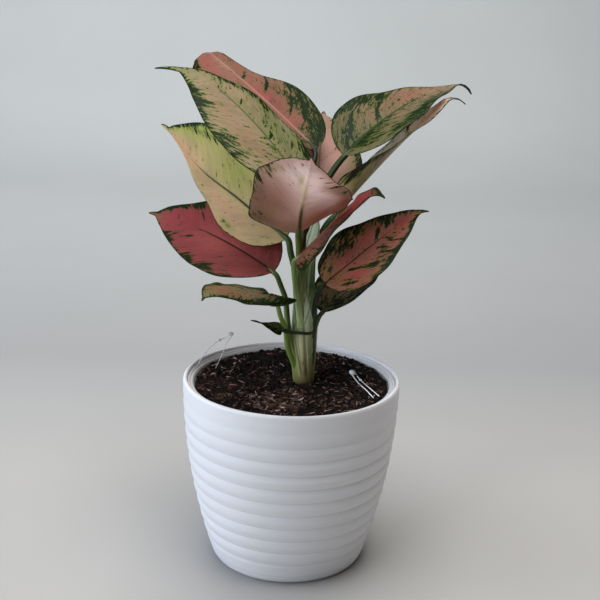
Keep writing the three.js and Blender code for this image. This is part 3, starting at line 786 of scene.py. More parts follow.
plain = {
    "roll": 0, "twist": 0, "fold": (8, 8), "opening": 0, "curl": (0, 0), "lobe": (0, 0), "lean": 0,
    "ripple": (0.9, 3.4, 0), "bend": 0, "sweep": 0, "stub": 0, "corners": (),
}
blades = {
    "leaf_upper_left_front": {
        **plain, "at": (5.9, -12, 281.4), "heading": 132, "rise": 43, "bend": -20, "sweep": 23, "length": 162,
        "width": 66, "roll": -1, "twist": 31, "fold": (-2, -4), "opening": -3, "curl": (-11, -13),
        "hook": (0.7, -33, 12), "lobe": (4, 12), "widest": 0.4, "tail": 0.13, "lean": -0.05,
        "corners": ((1, 0.86, 0.07, -1.4),),
    },
    "leaf_upper_left_back": {
        **plain, "at": (13, 45, 302.3), "heading": 136, "rise": 31, "bend": -14.5, "sweep": -8, "length": 199,
        "width": 66, "twist": -6, "fold": (-14, 17), "opening": -30, "curl": (12, 4),
        "hook": (0.68, -174, -15), "ripple": (2.6, 2.2, 80), "widest": 0.38, "tail": 0.18, "lean": 0.08,
        "corners": ((1, 0.66, 0.12, -3.2), (1, 0.32, 0.12, -1.2)),
    },
    "leaf_left": {
        **plain, "at": (-6.2, -7.5, 246.8), "heading": 154, "rise": 29, "bend": -3, "sweep": -31,
        "length": 150,
        "width": 71, "roll": 57, "twist": 37, "fold": (-19, 9), "opening": -5, "curl": (-18, -3),
        "hook": (0.8, -16, -1), "widest": 0.42, "tail": 0.09, "lean": 0.1,
        "corners": ((1, 0.83, 0.07, -1.8),),
    },
    "leaf_lower_left": {
        **plain, "at": (-15, -7.5, 221.6), "heading": 139, "rise": 19, "bend": -15, "sweep": 6, "length": 128,
        "width": 65, "roll": 17, "twist": 21, "fold": (0, 14), "curl": (-10, 2), "hook": (0.78, -7, 1),
        "widest": 0.38, "tail": 0.06, "lean": 0.03, "corners": ((1, 0.78, 0.1, -2.6),),
    },
    "leaf_low_left_small": {
        **plain, "at": (-15.5, -20.8, 205.6), "heading": 216, "rise": 16, "bend": -1, "sweep": 17,
        "length": 69,
        "width": 34, "roll": 5, "twist": 9, "fold": (-1, 6), "curl": (-11, -5), "hook": (0.73, -48, 16),
        "lobe": (14, 4), "widest": 0.36, "tail": 0.04, "stub": 4.4, "corners": ((-1, 0.08, 0.08, 2.4),),
    },
    "leaf_front": {
        **plain, "at": (2, -22, 254), "heading": -88, "rise": 37, "bend": -8, "sweep": 4, "length": 123,
        "width": 69, "roll": -9, "twist": 47, "fold": (13, 4), "curl": (1, -7), "hook": (0.78, 8, -3),
        "widest": 0.42, "tail": 0.05, "lean": 0.06,
        "corners": ((1, 0.42, 0.11, -3.6), (1, 0.2, 0.055, 3.6), (1, 0.09, 0.05, -1.6), (1, 0.65, 0.07, 1.2)),
    },
    "leaf_upper_right": {
        **plain, "at": (33, 6, 304), "heading": 45, "rise": 35, "bend": -30, "sweep": -12, "length": 139,
        "width": 62, "roll": -11, "twist": 27, "fold": (21, 11), "opening": -16, "curl": (8, -1),
        "hook": (0.86, -62, 0), "widest": 0.37, "tail": 0.11, "lean": -0.05,
    },
    "leaf_right_folded": {
        **plain, "at": (29, 0, 264), "heading": 31, "rise": 45, "bend": -11, "sweep": -3, "length": 136,
        "width": 52, "roll": 23, "twist": -56, "fold": (13, 46), "opening": -20, "curl": (-32, -2),
        "hook": (0.85, -80, -6), "widest": 0.26, "tail": 0.08,
        "corners": ((1, 0.11, 0.07, 5.5), (1, 0.32, 0.09, -3.0)),
    },
    "leaf_centre_young": {
        **plain, "at": (1, -20, 235), "heading": -44, "rise": 39, "bend": -2, "sweep": -13, "length": 106,
        "width": 45, "roll": -3, "twist": -1, "fold": (21, -46), "opening": 34, "curl": (-4, -7),
        "hook": (0.84, -59, -2), "widest": 0.32, "tail": 0.04,
    },
    "leaf_right": {
        **plain, "at": (22, -9, 214), "heading": 18, "rise": 38, "bend": -10, "sweep": 17, "length": 99,
        "width": 52, "roll": -20, "twist": 7, "fold": (15, 1), "curl": (3, -10), "hook": (0.78, -39, 0),
        "widest": 0.3, "tail": 0.09, "corners": ((-1, 0.14, 0.1, -3.2),),
    },
    "leaf_low_right_back": {
        **plain, "at": (21.2, -0.6, 190.4), "heading": 51, "rise": 28, "bend": -20, "sweep": 3, "length": 89,
        "width": 47, "roll": -2, "twist": 12, "fold": (13, 11), "opening": 6, "hook": (0.78, -15, 0),
        "widest": 0.4, "tail": 0.06,
    },
    "leaf_back": {
        **plain, "at": (15, 26, 268), "heading": 88, "rise": 34, "bend": -16, "sweep": -2, "length": 121,
        "width": 63, "roll": -5, "twist": -6, "fold": (12, 7), "opening": -3, "curl": (0, -4),
        "hook": (0.78, -7, 2), "widest": 0.39, "tail": 0.07, "lean": 0.03,
    },
    "bract": {
        **plain, "at": (-7.6, -14, 179.95), "heading": 188, "rise": 20, "length": 24, "width": 10,
        "twist": -9, "fold": (-34, 40), "hook": (0.78, -15, 0), "widest": 0.22, "tail": 0.3,
    },
}
leafMesh = {
    "grid": (150, 30),  # rows along the blade, columns on each half
    "smallGrid": (60, 14),
    "smallBelow": 40,  # length of a blade that takes the small grid
    "skin": 0.24,
    "ridge": 1.3,
    "groove": 0.35,
    "quilt": 0.18,
    "crimp": 0.45,
    "veinGap": 9.5,
    "earReach": 0.06,
}


def bladeWay(leaf, s):
    # heading and slope at each share of the length: a straight change, and the hook's on top after its start
    start, nod, yaw = leaf["hook"]
    share = np.clip((s - start) / (1 - start), 0, 1)
    turn = np.radians(leaf["heading"] + leaf["sweep"] * s + yaw * share)
    slope = np.radians(leaf["rise"] + leaf["bend"] * s + nod * share)
    return turn, slope


def along(turn, slope):
    # the direction with this heading and slope
    return np.stack([np.cos(slope) * np.cos(turn), np.cos(slope) * np.sin(turn), np.sin(slope)], -1)


def midrib(leaf, s):
    # the foot of the blade plus its direction summed over the length in 24 steps
    steps = 24
    point = np.zeros(s.shape + (3,)) + np.array(leaf["at"], float)
    stride = (leaf["length"] * s / steps)[..., None]
    for i in range(steps):
        point = point + along(*bladeWay(leaf, (i + 0.5) / steps * s)) * stride
    return point


def swelling(s, reach):
    # a bell that starts at the foot and rises from nothing within the first twentieth of the length
    return bell((s, reach)) * np.minimum(1, s / 0.05) ** 0.5


def earRise(s):
    # (s / a) exp(1 - s / a): nothing at the foot, one at s = a, and gone soon after
    return s / leafMesh["earReach"] * np.exp(1 - s / leafMesh["earReach"])


def halfWidth(leaf, s):
    # a pointed oval (u/m)^(1.75 m) ((1-u)/(1-m))^(1.75 (1-m)), then a narrow tail and the stub at the stalk
    m = leaf["widest"]
    u = np.minimum(1, s / (1 - leaf["tail"]))
    oval = (u / m) ** (1.75 * m) * ((1 - u) / (1 - m)) ** (1.75 * (1 - m))
    tail = 0.045 * np.clip((s - 0.5) / 0.3, 0, 1) * np.minimum(1, (1 - s) / 0.12) ** 0.7
    stub = 1.45 * (1 - s) ** 12 + leaf["stub"] * swelling(s, 0.12)
    return leaf["width"] / 2 * oval + leaf["width"] * tail + stub + 0.35


def sideWidth(leaf, s, v):
    # the half width leaned to one side, let out or taken in where that margin has a corner
    width = halfWidth(leaf, s) * (1 + leaf["lean"] * np.sign(v))
    for side, s0, reach, amount in leaf["corners"]:
        width = width + amount * (np.sign(v) == side) * bell((s - s0, reach))
    return width


def bladeFrame(leaf, s):
    # at each share of the length: the way the blade runs, the way across it, and the way out of its face
    turn, slope = bladeWay(leaf, s)
    tangent = along(turn, slope)
    level = np.stack([np.sin(turn), -np.cos(turn), 0 * s], -1)
    up = np.cross(level, tangent)
    roll = np.radians(leaf["roll"] + leaf["twist"] * s)[..., None]
    return tangent, np.cos(roll) * level + np.sin(roll) * up, np.cos(roll) * up - np.sin(roll) * level


def veinStart(leaf, s, d):
    # where on the midrib the side vein through a point begins: s length - 0.6 |d| - 1.5 d^2 / width
    return s * leaf["length"] - 0.6 * np.abs(d) - 1.5 * d**2 / leaf["width"]


def bladeSurface(leaf, s, v, lift):
    # midrib + width v along the folded half + lift square to it, with waved margins and ears at the stalk
    tangent, across, normal = bladeFrame(leaf, s)
    out = np.abs(v)
    pick = (v >= 0).astype(int)
    fold, curl, lobe = (np.array(leaf[key], float)[pick] for key in ("fold", "curl", "lobe"))
    slope = np.radians(fold + leaf["opening"] * s + curl * out / 2)
    edge = np.radians(fold + leaf["opening"] * s + curl * out)
    width = sideWidth(leaf, s, v)
    height, count, phase = leaf["ripple"]
    wave = np.sin(2 * np.pi * count * s + np.radians(phase) + 2 * pick) * np.sin(np.pi * s)
    lift = lift + height * (leaf["width"] / 60) * out**2 * wave
    ear = (lobe * out**3 * earRise(s))[..., None]
    point = midrib(leaf, s) - ear * tangent + 0.45 * ear * normal
    sideways = width * v * np.cos(slope) - np.sign(v) * lift * np.sin(edge)
    outward = width * out * np.sin(slope) + lift * np.cos(edge)
    return point + sideways[..., None] * across + outward[..., None] * normal


def bladeLifts(leaf, seed, s, v, ribD, veinAt):
    # how far the upper and lower skin stand off the blade's middle: a groove above the midrib and a ridge
    # below it (bells across it), side veins sunk as sin^2, a crimped margin, and a swollen foot
    out = np.abs(v)
    size = min(1.0, leaf["length"] / 100)
    skin = leafMesh["skin"] * (1 - 0.55 * out**6)
    ridge = leafMesh["ridge"] * size * (1 - 0.8 * s) * bell((ribD, size * (1.6 - 0.9 * s)))
    groove = leafMesh["groove"] * size * (1 - s) * bell((ribD, size * 0.8))
    between = np.sin(np.pi * veinAt / leafMesh["veinGap"]) ** 2
    quilt = leafMesh["quilt"] * size * (between - 0.5) * smoothStep(0, 0.2, out) * smoothStep(1, 0.8, out)
    waves = valueNoise(s * 11 + 3 * seed, v * 0.5 + seed, seed) * np.sin(np.pi * s)
    crimp = leafMesh["crimp"] * size * out**3 * waves
    ear = np.where(v < 0, *leaf["lobe"]) * earRise(s)
    middle = 0.6 * swelling(s, 0.11) * np.sqrt(1 - np.minimum(out, 1) ** 2)
    puff = leaf["stub"] * (middle + 0.08 * ear * np.sqrt(out * (1 - out)))
    return skin - groove + quilt + crimp + puff, quilt + crimp - skin - ridge - puff


# What grows on each blade.
# s runs from the stalk (0) to the tip (1), v from the left margin (-1) over the midrib (0) to the right (1).
# tone: the ground colour. washes: (colour, s, v, reach in s, reach in v, strength).
# green: clouds of blotches as (s, v, reach in s, reach in v, density).
# streaks: the same along a side vein, as (s, v, width mm, length mm, density).
# left and right: depth of the green border in mm along s.
# rib: the midrib's colour, and the share of the length that it reaches.
# halo and haze: colours round the blotches. through: share of the light that passes the blade.
leafTones = {"darkGreen": (27, 50, 8), "vein": (136, 120, 70), "underside": (150, 140, 120)}
creamLook = {
    "slot": "leaf_cream", "halo": (108, 138, 48), "haze": (146, 150, 80), "through": 0.5, "ribWidth": 0.7,
    "ribDrift": 0, "chunky": 1,
}
salmonLook = {**creamLook, "slot": "leaf_salmon", "halo": (88, 104, 46), "haze": (126, 118, 70)}
crimsonLook = {**creamLook, "slot": "leaf_crimson", "halo": (84, 68, 40), "haze": (126, 84, 58)}
paleLook = {**creamLook, "slot": "leaf_pale_pink", "halo": (120, 112, 72), "haze": (176, 144, 124)}
greenLook = {**creamLook, "slot": "leaf_green", "halo": (96, 112, 60), "haze": (140, 124, 80)}
looks = {
    "leaf_upper_left_front": {
        **creamLook, "chunky": 1.2, "tone": (186, 168, 136), "speckle": 0.15, "rib": (96, 112, 62, 0.64),
        "ribWidth": 0.75,
        "washes": [
            ((186, 150, 122), 0.32, -0.45, 0.26, 0.42, 0.9), ((190, 156, 126), 0.6, -0.4, 0.14, 0.4, 0.8),
            ((148, 152, 110), 0.34, 0.55, 0.24, 0.55, 0.85), ((150, 154, 106), 0.9, 0.0, 0.12, 1.2, 0.7),
            ((200, 172, 142), 0.56, 0.4, 0.1, 0.35, 0.6), ((150, 160, 98), 0.53, 0.16, 0.05, 0.12, 0.7),
            ((140, 152, 96), 0.34, 0.04, 0.05, 0.08, 0.6),
        ],
        "green": [
            (0.38, -0.84, 0.14, 0.2, 0.3), (0.64, -0.72, 0.07, 0.22, 0.32), (0.74, -0.8, 0.05, 0.14, 0.4),
            (0.22, 0.88, 0.07, 0.2, 0.34), (0.66, 0.9, 0.1, 0.2, 0.4), (0.5, 0.85, 0.1, 0.14, 0.22),
            (0.06, -0.6, 0.07, 0.5, 0.4), (0.7, 0.4, 0.05, 0.3, 0.16), (0.25, -0.75, 0.06, 0.1, 0.2),
            (0.35, 0.2, 0.08, 0.2, 0.1), (0.3, 0.45, 0.18, 0.3, 0.13), (0.2, -0.15, 0.1, 0.4, 0.12),
        ],
        "streaks": [
            (0.53, 0.14, 1.2, 3.5, 0.5), (0.55, 0.3, 0.9, 3, 0.4), (0.31, 0.08, 0.9, 3, 0.4),
            (0.31, -0.1, 0.9, 3, 0.42),
            (0.45, 0.6, 1.1, 6, 0.46), (0.37, -0.66, 1.0, 4, 0.4), (0.62, -0.6, 1.3, 4, 0.5),
            (0.62, 0.0, 0.8, 2, 0.4),
            (0.66, 0.04, 0.8, 2, 0.35), (0.5, -0.3, 0.8, 3, 0.25), (0.72, 0.75, 1.4, 5, 0.5),
        ],
        "left": [
            (0, 2.4), (0.15, 1.8), (0.3, 2), (0.45, 2.8), (0.55, 2.6), (0.66, 4), (0.75, 3.4), (0.85, 2),
            (1, 2),
        ],
        "right": [
            (0, 3), (0.1, 3), (0.2, 1.6), (0.35, 1.6), (0.5, 2.4), (0.62, 4), (0.75, 4), (0.85, 2), (1, 2),
        ],
    },
    "leaf_upper_left_back": {
        **salmonLook, "chunky": 1.4, "tone": (172, 120, 104), "speckle": 0.13, "rib": (206, 152, 138, 0.9),
        "ribWidth": 0.8,
        "washes": [
            ((186, 108, 102), 0.34, 0.14, 0.09, 0.26, 0.9), ((186, 108, 102), 0.16, 0.1, 0.05, 0.28, 0.7),
            ((140, 122, 94), 0.24, 0.75, 0.12, 0.3, 0.7), ((128, 118, 82), 0.06, 0.4, 0.06, 0.7, 0.6),
            ((170, 118, 102), 0.72, 0.2, 0.1, 0.8, 0.7), ((156, 146, 112), 0.92, 0.0, 0.08, 1.5, 0.8),
            # the pale wash on the midrib at s 0.6 is a painted highlight where the blade rolls over
            ((176, 104, 92), 0.64, -0.6, 0.08, 0.4, 0.8), ((184, 158, 128), 0.6, 0.0, 0.06, 0.16, 0.6),
        ],
        "green": [
            (0.22, 0.7, 0.07, 0.26, 0.44), (0.3, 0.9, 0.12, 0.14, 0.44), (0.38, 0.5, 0.06, 0.2, 0.16),
            (0.04, 0.5, 0.05, 0.8, 0.6),
            (0.3, 0.55, 0.05, 0.12, 0.3), (0.13, 0.6, 0.04, 0.3, 0.3),
            (0.09, 0.8, 0.05, 0.2, 0.2), (0.5, 0.9, 0.05, 0.2, 0.2),
        ],
        "streaks": [
            (0.42, 0.5, 1.8, 10, 0.66), (0.49, 0.12, 1.8, 6, 0.7), (0.24, 0.4, 1.5, 8, 0.55),
            (0.2, 0.62, 1.9, 5, 0.66),
            (0.27, 0.8, 1.6, 4, 0.55), (0.17, 0.5, 1.2, 4, 0.4), (0.12, 0.2, 1, 3, 0.35),
            (0.34, 0.8, 1.3, 4, 0.4),
        ],
        "left": [(0, 4), (0.1, 2), (0.5, 1.5), (0.9, 1.5), (1, 2)],
        "right": [(0, 6), (0.05, 5), (0.1, 1.4), (0.2, 2.4), (0.3, 2.6), (0.4, 1.4), (0.6, 1), (1, 2)],
    },
    "leaf_left": {
        **creamLook, "tone": (226, 206, 152), "speckle": 0.04, "rib": (58, 70, 26, 0.62), "ribWidth": 1.0,
        "ribDrift": -0.16,
        "washes": [
            ((228, 186, 150), 0.36, -0.45, 0.22, 0.4, 0.85), ((240, 192, 156), 0.76, -0.2, 0.14, 0.4, 0.85),
            ((204, 212, 104), 0.74, 0.8, 0.22, 0.36, 0.95), ((196, 200, 106), 0.4, 0.4, 0.14, 0.4, 0.8),
            ((176, 170, 94), 0.02, 0.6, 0.08, 0.7, 0.8), ((166, 170, 84), 0.33, -0.78, 0.05, 0.12, 0.85),
            ((196, 172, 124), 0.12, -0.2, 0.12, 0.5, 0.6), ((228, 206, 156), 0.6, -0.85, 0.3, 0.24, 0.7),
        ],
        "green": [
            (0.8, 0.92, 0.12, 0.12, 0.44), (0.33, -0.78, 0.03, 0.07, 0.4), (0.6, 0.7, 0.08, 0.1, 0.26),
            (0.72, 0.7, 0.06, 0.1, 0.24), (0.03, 0.6, 0.05, 0.4, 0.3),
        ],
        "streaks": [
            (0.36, 0.24, 0.9, 4.5, 0.46), (0.38, 0.4, 0.8, 2.5, 0.5), (0.44, 0.5, 0.8, 3, 0.5),
            (0.5, 0.62, 0.8, 3, 0.5),
            (0.57, 0.66, 0.8, 3, 0.5), (0.64, 0.74, 0.8, 4, 0.46), (0.7, 0.6, 0.7, 2, 0.42),
            (0.31, 0.4, 0.8, 2, 0.4),
            (0.48, 0.3, 0.6, 3, 0.25), (0.56, 0.3, 0.6, 3, 0.2), (0.25, -0.4, 0.6, 2, 0.3),
        ],
        "left": [(0, 0.8), (0.5, 0.8), (0.7, 1.2), (0.9, 0.8), (1, 1)],
        "right": [(0, 1), (0.5, 1.2), (0.62, 2.4), (0.75, 2.8), (0.86, 3.2), (0.93, 1.5), (1, 1)],
    },
    "leaf_lower_left": {
        **crimsonLook, "tone": (170, 84, 86), "speckle": 0.05, "rib": (66, 44, 26, 0.56), "ribWidth": 0.75,
        "washes": [
            # the bright pink wash at s 0.38 is painted light, lifting the middle where leaf_left shades it
            ((178, 78, 86), 0.72, 0.05, 0.16, 0.5, 0.7), ((204, 112, 108), 0.38, -0.1, 0.2, 0.5, 0.85),
            ((132, 72, 60), 0.05, -0.2, 0.08, 0.7, 0.7),
            ((136, 112, 74), 0.95, 0.0, 0.07, 1.5, 0.8), ((156, 78, 74), 0.15, 0.6, 0.15, 0.4, 0.5),
            ((148, 68, 68), 0.35, -0.65, 0.24, 0.25, 0.6),
        ],
        "green": [
            (0.34, -0.88, 0.06, 0.14, 0.5), (0.52, -0.86, 0.07, 0.15, 0.5), (0.74, 0.84, 0.1, 0.16, 0.46),
            (0.74, -0.86, 0.06, 0.14, 0.4), (0.2, -0.88, 0.06, 0.1, 0.3), (0.9, 0.7, 0.05, 0.4, 0.4),
            (0.66, 0.7, 0.05, 0.14, 0.24), (0.05, 0.1, 0.04, 0.4, 0.2),
        ],
        "streaks": [
            (0.61, -0.4, 1.2, 2.5, 0.6), (0.65, -0.52, 1.3, 3, 0.64), (0.71, -0.62, 1.2, 3, 0.6),
            (0.76, -0.74, 1.2, 3, 0.6),
            (0.63, 0.42, 0.9, 3, 0.4), (0.31, -0.44, 0.8, 1.6, 0.5), (0.14, 0.4, 1, 2, 0.45),
            (0.78, 0.3, 0.8, 2, 0.4),
            (0.8, -0.5, 0.8, 2, 0.4), (0.45, -0.7, 1, 2.5, 0.45), (0.34, -0.8, 1.6, 2.5, 0.5),
            (0.68, 0.56, 0.9, 2.5, 0.45),
        ],
        "left": [(0, 2), (0.2, 1.6), (0.35, 2.2), (0.5, 2.4), (0.8, 1.8), (1, 1)],
        "right": [(0, 2), (0.5, 1), (0.64, 2.2), (0.78, 2.6), (0.88, 2), (1, 1)],
    },
    "leaf_low_left_small": {
        **salmonLook, "tone": (158, 130, 104), "speckle": 0.22, "rib": (168, 136, 112, 0.8), "ribWidth": 0.4,
        "washes": [
            ((176, 122, 98), 0.62, 0.0, 0.16, 0.5, 0.8), ((84, 92, 48), 0.03, -0.3, 0.1, 1.2, 0.9),
            ((134, 136, 82), 0.92, -0.3, 0.1, 0.8, 0.8), ((150, 140, 108), 0.3, 0.1, 0.14, 0.6, 0.5),
        ],
        "green": [
            (0.45, -0.85, 0.25, 0.24, 0.44), (0.2, 0.8, 0.12, 0.24, 0.36), (0.02, 0.0, 0.08, 1.2, 0.5),
            (0.25, -0.5, 0.1, 0.2, 0.2), (0.6, 0.8, 0.16, 0.2, 0.3),
        ],
        "streaks": [
            (0.4, -0.4, 0.7, 3, 0.3), (0.3, 0.4, 0.7, 3, 0.3), (0.6, -0.5, 0.7, 3, 0.4),
            (0.5, 0.4, 0.6, 3, 0.3),
        ],
        "left": [(0, 2), (0.3, 1.8), (0.5, 2.2), (0.8, 1.6), (1, 1)],
        "right": [(0, 1.6), (0.3, 1.4), (0.7, 1.4), (1, 1)],
    },
    "leaf_front": {
        **paleLook, "tone": (216, 186, 180), "speckle": 0.0, "rib": (84, 84, 40, 0.36), "ribWidth": 1.0,
        "through": 0.56,
        "washes": [
            # the two near-white washes at s 0.62 and 0.72 are painted light, the glow of light through the
            # blade; the darker washes at v -0.5 to -0.9 are painted shade along the folded half
            ((180, 150, 124), 0.05, 0.0, 0.12, 1.2, 0.7), ((246, 230, 230), 0.62, -0.2, 0.26, 0.5, 0.9),
            ((246, 232, 230), 0.72, 0.25, 0.16, 0.6, 0.85), ((176, 136, 114), 0.36, 0.6, 0.26, 0.42, 0.8),
            ((196, 176, 128), 0.7, 0.8, 0.09, 0.2, 0.6),
            ((140, 122, 78), 0.2, 0.84, 0.08, 0.26, 0.8), ((150, 112, 88), 0.4, 0.9, 0.2, 0.2, 0.6),
            ((150, 108, 100), 0.16, -0.6, 0.16, 0.5, 0.6),
            ((150, 92, 70), 0.45, -0.9, 0.3, 0.2, 0.85), ((186, 132, 112), 0.14, -0.5, 0.12, 0.5, 0.6),
            ((150, 118, 84), 0.62, -0.7, 0.08, 0.24, 0.6),
            ((214, 204, 164), 0.5, 0.0, 0.18, 0.045, 0.9), ((196, 190, 128), 0.68, 0.12, 0.08, 0.06, 0.6),
            ((178, 130, 100), 0.65, -0.5, 0.06, 0.16, 0.3),
        ],
        "green": [
            (0.64, 0.76, 0.07, 0.12, 0.2), (0.2, 0.84, 0.06, 0.14, 0.34), (0.64, -0.85, 0.07, 0.1, 0.26),
            (0.45, 0.9, 0.16, 0.08, 0.2), (0.85, 0.4, 0.06, 0.12, 0.16),
        ],
        "streaks": [
            (0.62, 0.76, 1.8, 3, 0.62), (0.68, 0.84, 1.4, 2.5, 0.62), (0.74, 0.72, 1, 3, 0.5),
            (0.55, 0.9, 2, 2, 0.6), (0.72, 0.16, 0.7, 4, 0.3), (0.8, -0.42, 0.9, 1.6, 0.5),
            (0.55, 0.62, 0.9, 3, 0.44), (0.59, -0.4, 0.9, 2, 0.44), (0.65, -0.55, 1.0, 2.5, 0.5),
            (0.7, -0.78, 2.2, 3, 0.7), (0.76, -0.66, 1.4, 3, 0.56), (0.6, -0.86, 1.6, 2.4, 0.6),
            (0.5, 0.5, 0.7, 3, 0.34),
            (0.23, 0.76, 1.0, 2, 0.5), (0.86, 0.4, 0.8, 2, 0.42), (0.78, 0.62, 0.9, 2, 0.5),
            (0.46, 0.66, 0.8, 2, 0.36),
        ],
        "left": [(0, 1), (0.4, 1.2), (0.7, 1), (1, 1)],
        "right": [(0, 1), (0.3, 1.2), (0.45, 1.8), (0.7, 1.8), (0.85, 1.2), (1, 1)],
    },
    "leaf_upper_right": {
        **salmonLook, "chunky": 1.3, "tone": (164, 138, 108), "speckle": 0.21, "rib": (58, 80, 34, 0.6),
        "ribWidth": 1.1,
        "halo": (88, 106, 50), "haze": (114, 116, 70),
        "washes": [
            ((176, 130, 108), 0.3, -0.4, 0.12, 0.25, 0.6), ((178, 122, 106), 0.6, -0.35, 0.12, 0.4, 0.85),
            ((182, 146, 126), 0.78, 0.1, 0.14, 0.7, 0.8), ((106, 108, 60), 0.1, 0.0, 0.17, 1.2, 0.9),
            ((130, 122, 80), 0.34, 0.3, 0.14, 0.5, 0.6),
            ((166, 130, 104), 0.4, 0.25, 0.08, 0.25, 0.6), ((112, 118, 88), 0.5, 0.85, 0.35, 0.3, 0.8),
        ],
        "green": [
            (0.36, -0.86, 0.12, 0.14, 0.42), (0.48, -0.76, 0.06, 0.14, 0.3), (0.34, 0.76, 0.09, 0.13, 0.46),
            (0.47, 0.74, 0.06, 0.14, 0.3), (0.2, 0.1, 0.16, 0.12, 0.28), (0.2, 0.6, 0.1, 0.3, 0.12),
            (0.1, -0.4, 0.08, 0.3, 0.28), (0.14, 0.3, 0.1, 0.3, 0.14), (0.3, -0.55, 0.1, 0.2, 0.16),
            (0.58, 0.6, 0.1, 0.24, 0.22), (0.5, 0.1, 0.1, 0.2, 0.14), (0.1, 0.3, 0.06, 0.4, 0.14),
        ],
        "streaks": [
            (0.36, -0.34, 1.8, 6, 0.7), (0.42, -0.5, 1.5, 3, 0.6), (0.16, -0.42, 1.9, 6, 0.7),
            (0.21, -0.6, 1.6, 4, 0.6),
            (0.3, -0.12, 1.2, 3, 0.5), (0.62, 0.2, 0.9, 5, 0.34), (0.28, 0.35, 0.9, 4, 0.3),
            (0.05, -0.12, 1.6, 3, 0.45),
            (0.47, -0.8, 1.6, 3, 0.5), (0.42, 0.62, 1.5, 4, 0.5), (0.52, -0.4, 0.8, 3, 0.3),
            (0.28, 0.06, 1.6, 2, 0.4),
        ],
        "left": [
            (0, 2), (0.1, 1.6), (0.25, 3), (0.4, 3.4), (0.5, 2.4), (0.6, 1), (0.85, 1), (0.92, 4), (1, 4),
        ],
        "right": [(0, 1), (0.2, 1), (0.35, 3), (0.5, 4.4), (0.62, 3), (0.8, 1.6), (0.9, 3), (1, 4)],
    },
    "leaf_right_folded": {
        **creamLook, "tone": (248, 242, 228), "speckle": 0.1, "rib": (206, 208, 162, 0.9), "ribWidth": 0.7,
        "through": 0.66,
        "washes": [
            ((250, 214, 204), 0.8, 0.0, 0.16, 1.0, 0.9), ((244, 206, 192), 0.55, 0.7, 0.25, 0.3, 0.6),
            ((176, 160, 112), 0.2, 0.4, 0.17, 0.9, 0.9), ((190, 150, 130), 0.38, 0.5, 0.1, 0.4, 0.5),
        ],
        "green": [
            (0.3, 0.86, 0.16, 0.2, 0.44), (0.5, -0.85, 0.2, 0.14, 0.4), (0.16, 0.7, 0.06, 0.2, 0.44),
            (0.6, -0.6, 0.1, 0.2, 0.24), (0.35, -0.6, 0.12, 0.2, 0.2),
        ],
        "streaks": [
            (0.14, 0.72, 1.3, 3, 0.6), (0.3, -0.6, 1.2, 4, 0.5), (0.34, 0.6, 1, 4, 0.4),
            (0.62, -0.5, 1.2, 4, 0.5),
        ],
        "left": [(0, 1.4), (0.3, 2), (0.6, 2.4), (0.85, 1), (0.9, 4), (1, 4)],
        "right": [(0, 1.4), (0.3, 1.6), (0.6, 1.4), (0.85, 1), (0.9, 4), (1, 4)],
    },
    "leaf_centre_young": {
        **crimsonLook, "chunky": 1.5, "tone": (170, 84, 84), "speckle": 0.2, "rib": (134, 80, 62, 0.6),
        "ribWidth": 0.45,
        "washes": [
            ((164, 120, 90), 0.18, 0.5, 0.2, 0.8, 0.9), ((140, 94, 68), 0.42, 0.1, 0.12, 0.6, 0.8),
            ((180, 66, 76), 0.68, -0.5, 0.16, 0.5, 0.8),
            ((134, 130, 74), 0.95, 0.0, 0.07, 1.5, 0.85),
            ((60, 62, 38), 0.6, 0.6, 0.17, 0.5, 0.9),
        ],
        "green": [
            (0.6, 0.7, 0.16, 0.4, 0.5), (0.12, 0.75, 0.08, 0.2, 0.3), (0.97, 0.0, 0.04, 1.0, 0.56),
            (0.4, 0.85, 0.2, 0.14, 0.3), (0.3, -0.8, 0.2, 0.2, 0.3),
        ],
        "streaks": [(0.2, 0.5, 0.9, 3, 0.4), (0.12, 0.4, 0.9, 2, 0.4), (0.32, 0.6, 0.9, 3, 0.4)],
        "left": [(0, 1.4), (0.4, 1.6), (0.8, 1.2), (1, 2)],
        "right": [(0, 1.4), (0.4, 1.4), (0.8, 1.2), (1, 2)],
    },
    "leaf_right": {
        **crimsonLook, "chunky": 1.7, "tone": (182, 118, 106), "speckle": 0.17, "rib": (78, 44, 30, 0.6),
        "ribWidth": 0.6,
        "haze": (140, 112, 66), "halo": (84, 92, 44),
        "washes": [
            # the two lighter pink washes on the left half, at v -0.25 and -0.3, are painted light where that
            # half lies in shade
            ((190, 84, 86), 0.2, 0.5, 0.09, 0.25, 0.8), ((204, 102, 98), 0.2, -0.25, 0.08, 0.2, 0.8),
            ((204, 112, 102), 0.46, -0.3, 0.12, 0.25, 0.8), ((186, 88, 80), 0.72, 0.1, 0.14, 0.5, 0.7),
            ((170, 136, 84), 0.08, -0.4, 0.09, 0.5, 0.7), ((150, 112, 68), 0.45, 0.9, 0.3, 0.16, 0.5),
            ((176, 132, 86), 0.36, -0.66, 0.2, 0.2, 0.6), ((136, 136, 84), 0.93, 0.0, 0.06, 1.0, 0.7),
            ((150, 108, 66), 0.08, 0.3, 0.07, 0.3, 0.6),
        ],
        "green": [
            (0.2, -0.88, 0.16, 0.16, 0.42), (0.12, 0.62, 0.05, 0.16, 0.3), (0.34, 0.6, 0.06, 0.12, 0.34),
            (0.47, 0.6, 0.05, 0.2, 0.24), (0.3, -0.55, 0.09, 0.16, 0.32), (0.66, -0.6, 0.05, 0.3, 0.42),
            (0.5, 0.92, 0.2, 0.12, 0.44), (0.78, 0.75, 0.06, 0.2, 0.3), (0.08, -0.3, 0.04, 0.14, 0.24),
            (0.45, -0.75, 0.1, 0.16, 0.26), (0.58, 0.3, 0.06, 0.2, 0.2), (0.78, -0.7, 0.06, 0.2, 0.3),
        ],
        "streaks": [
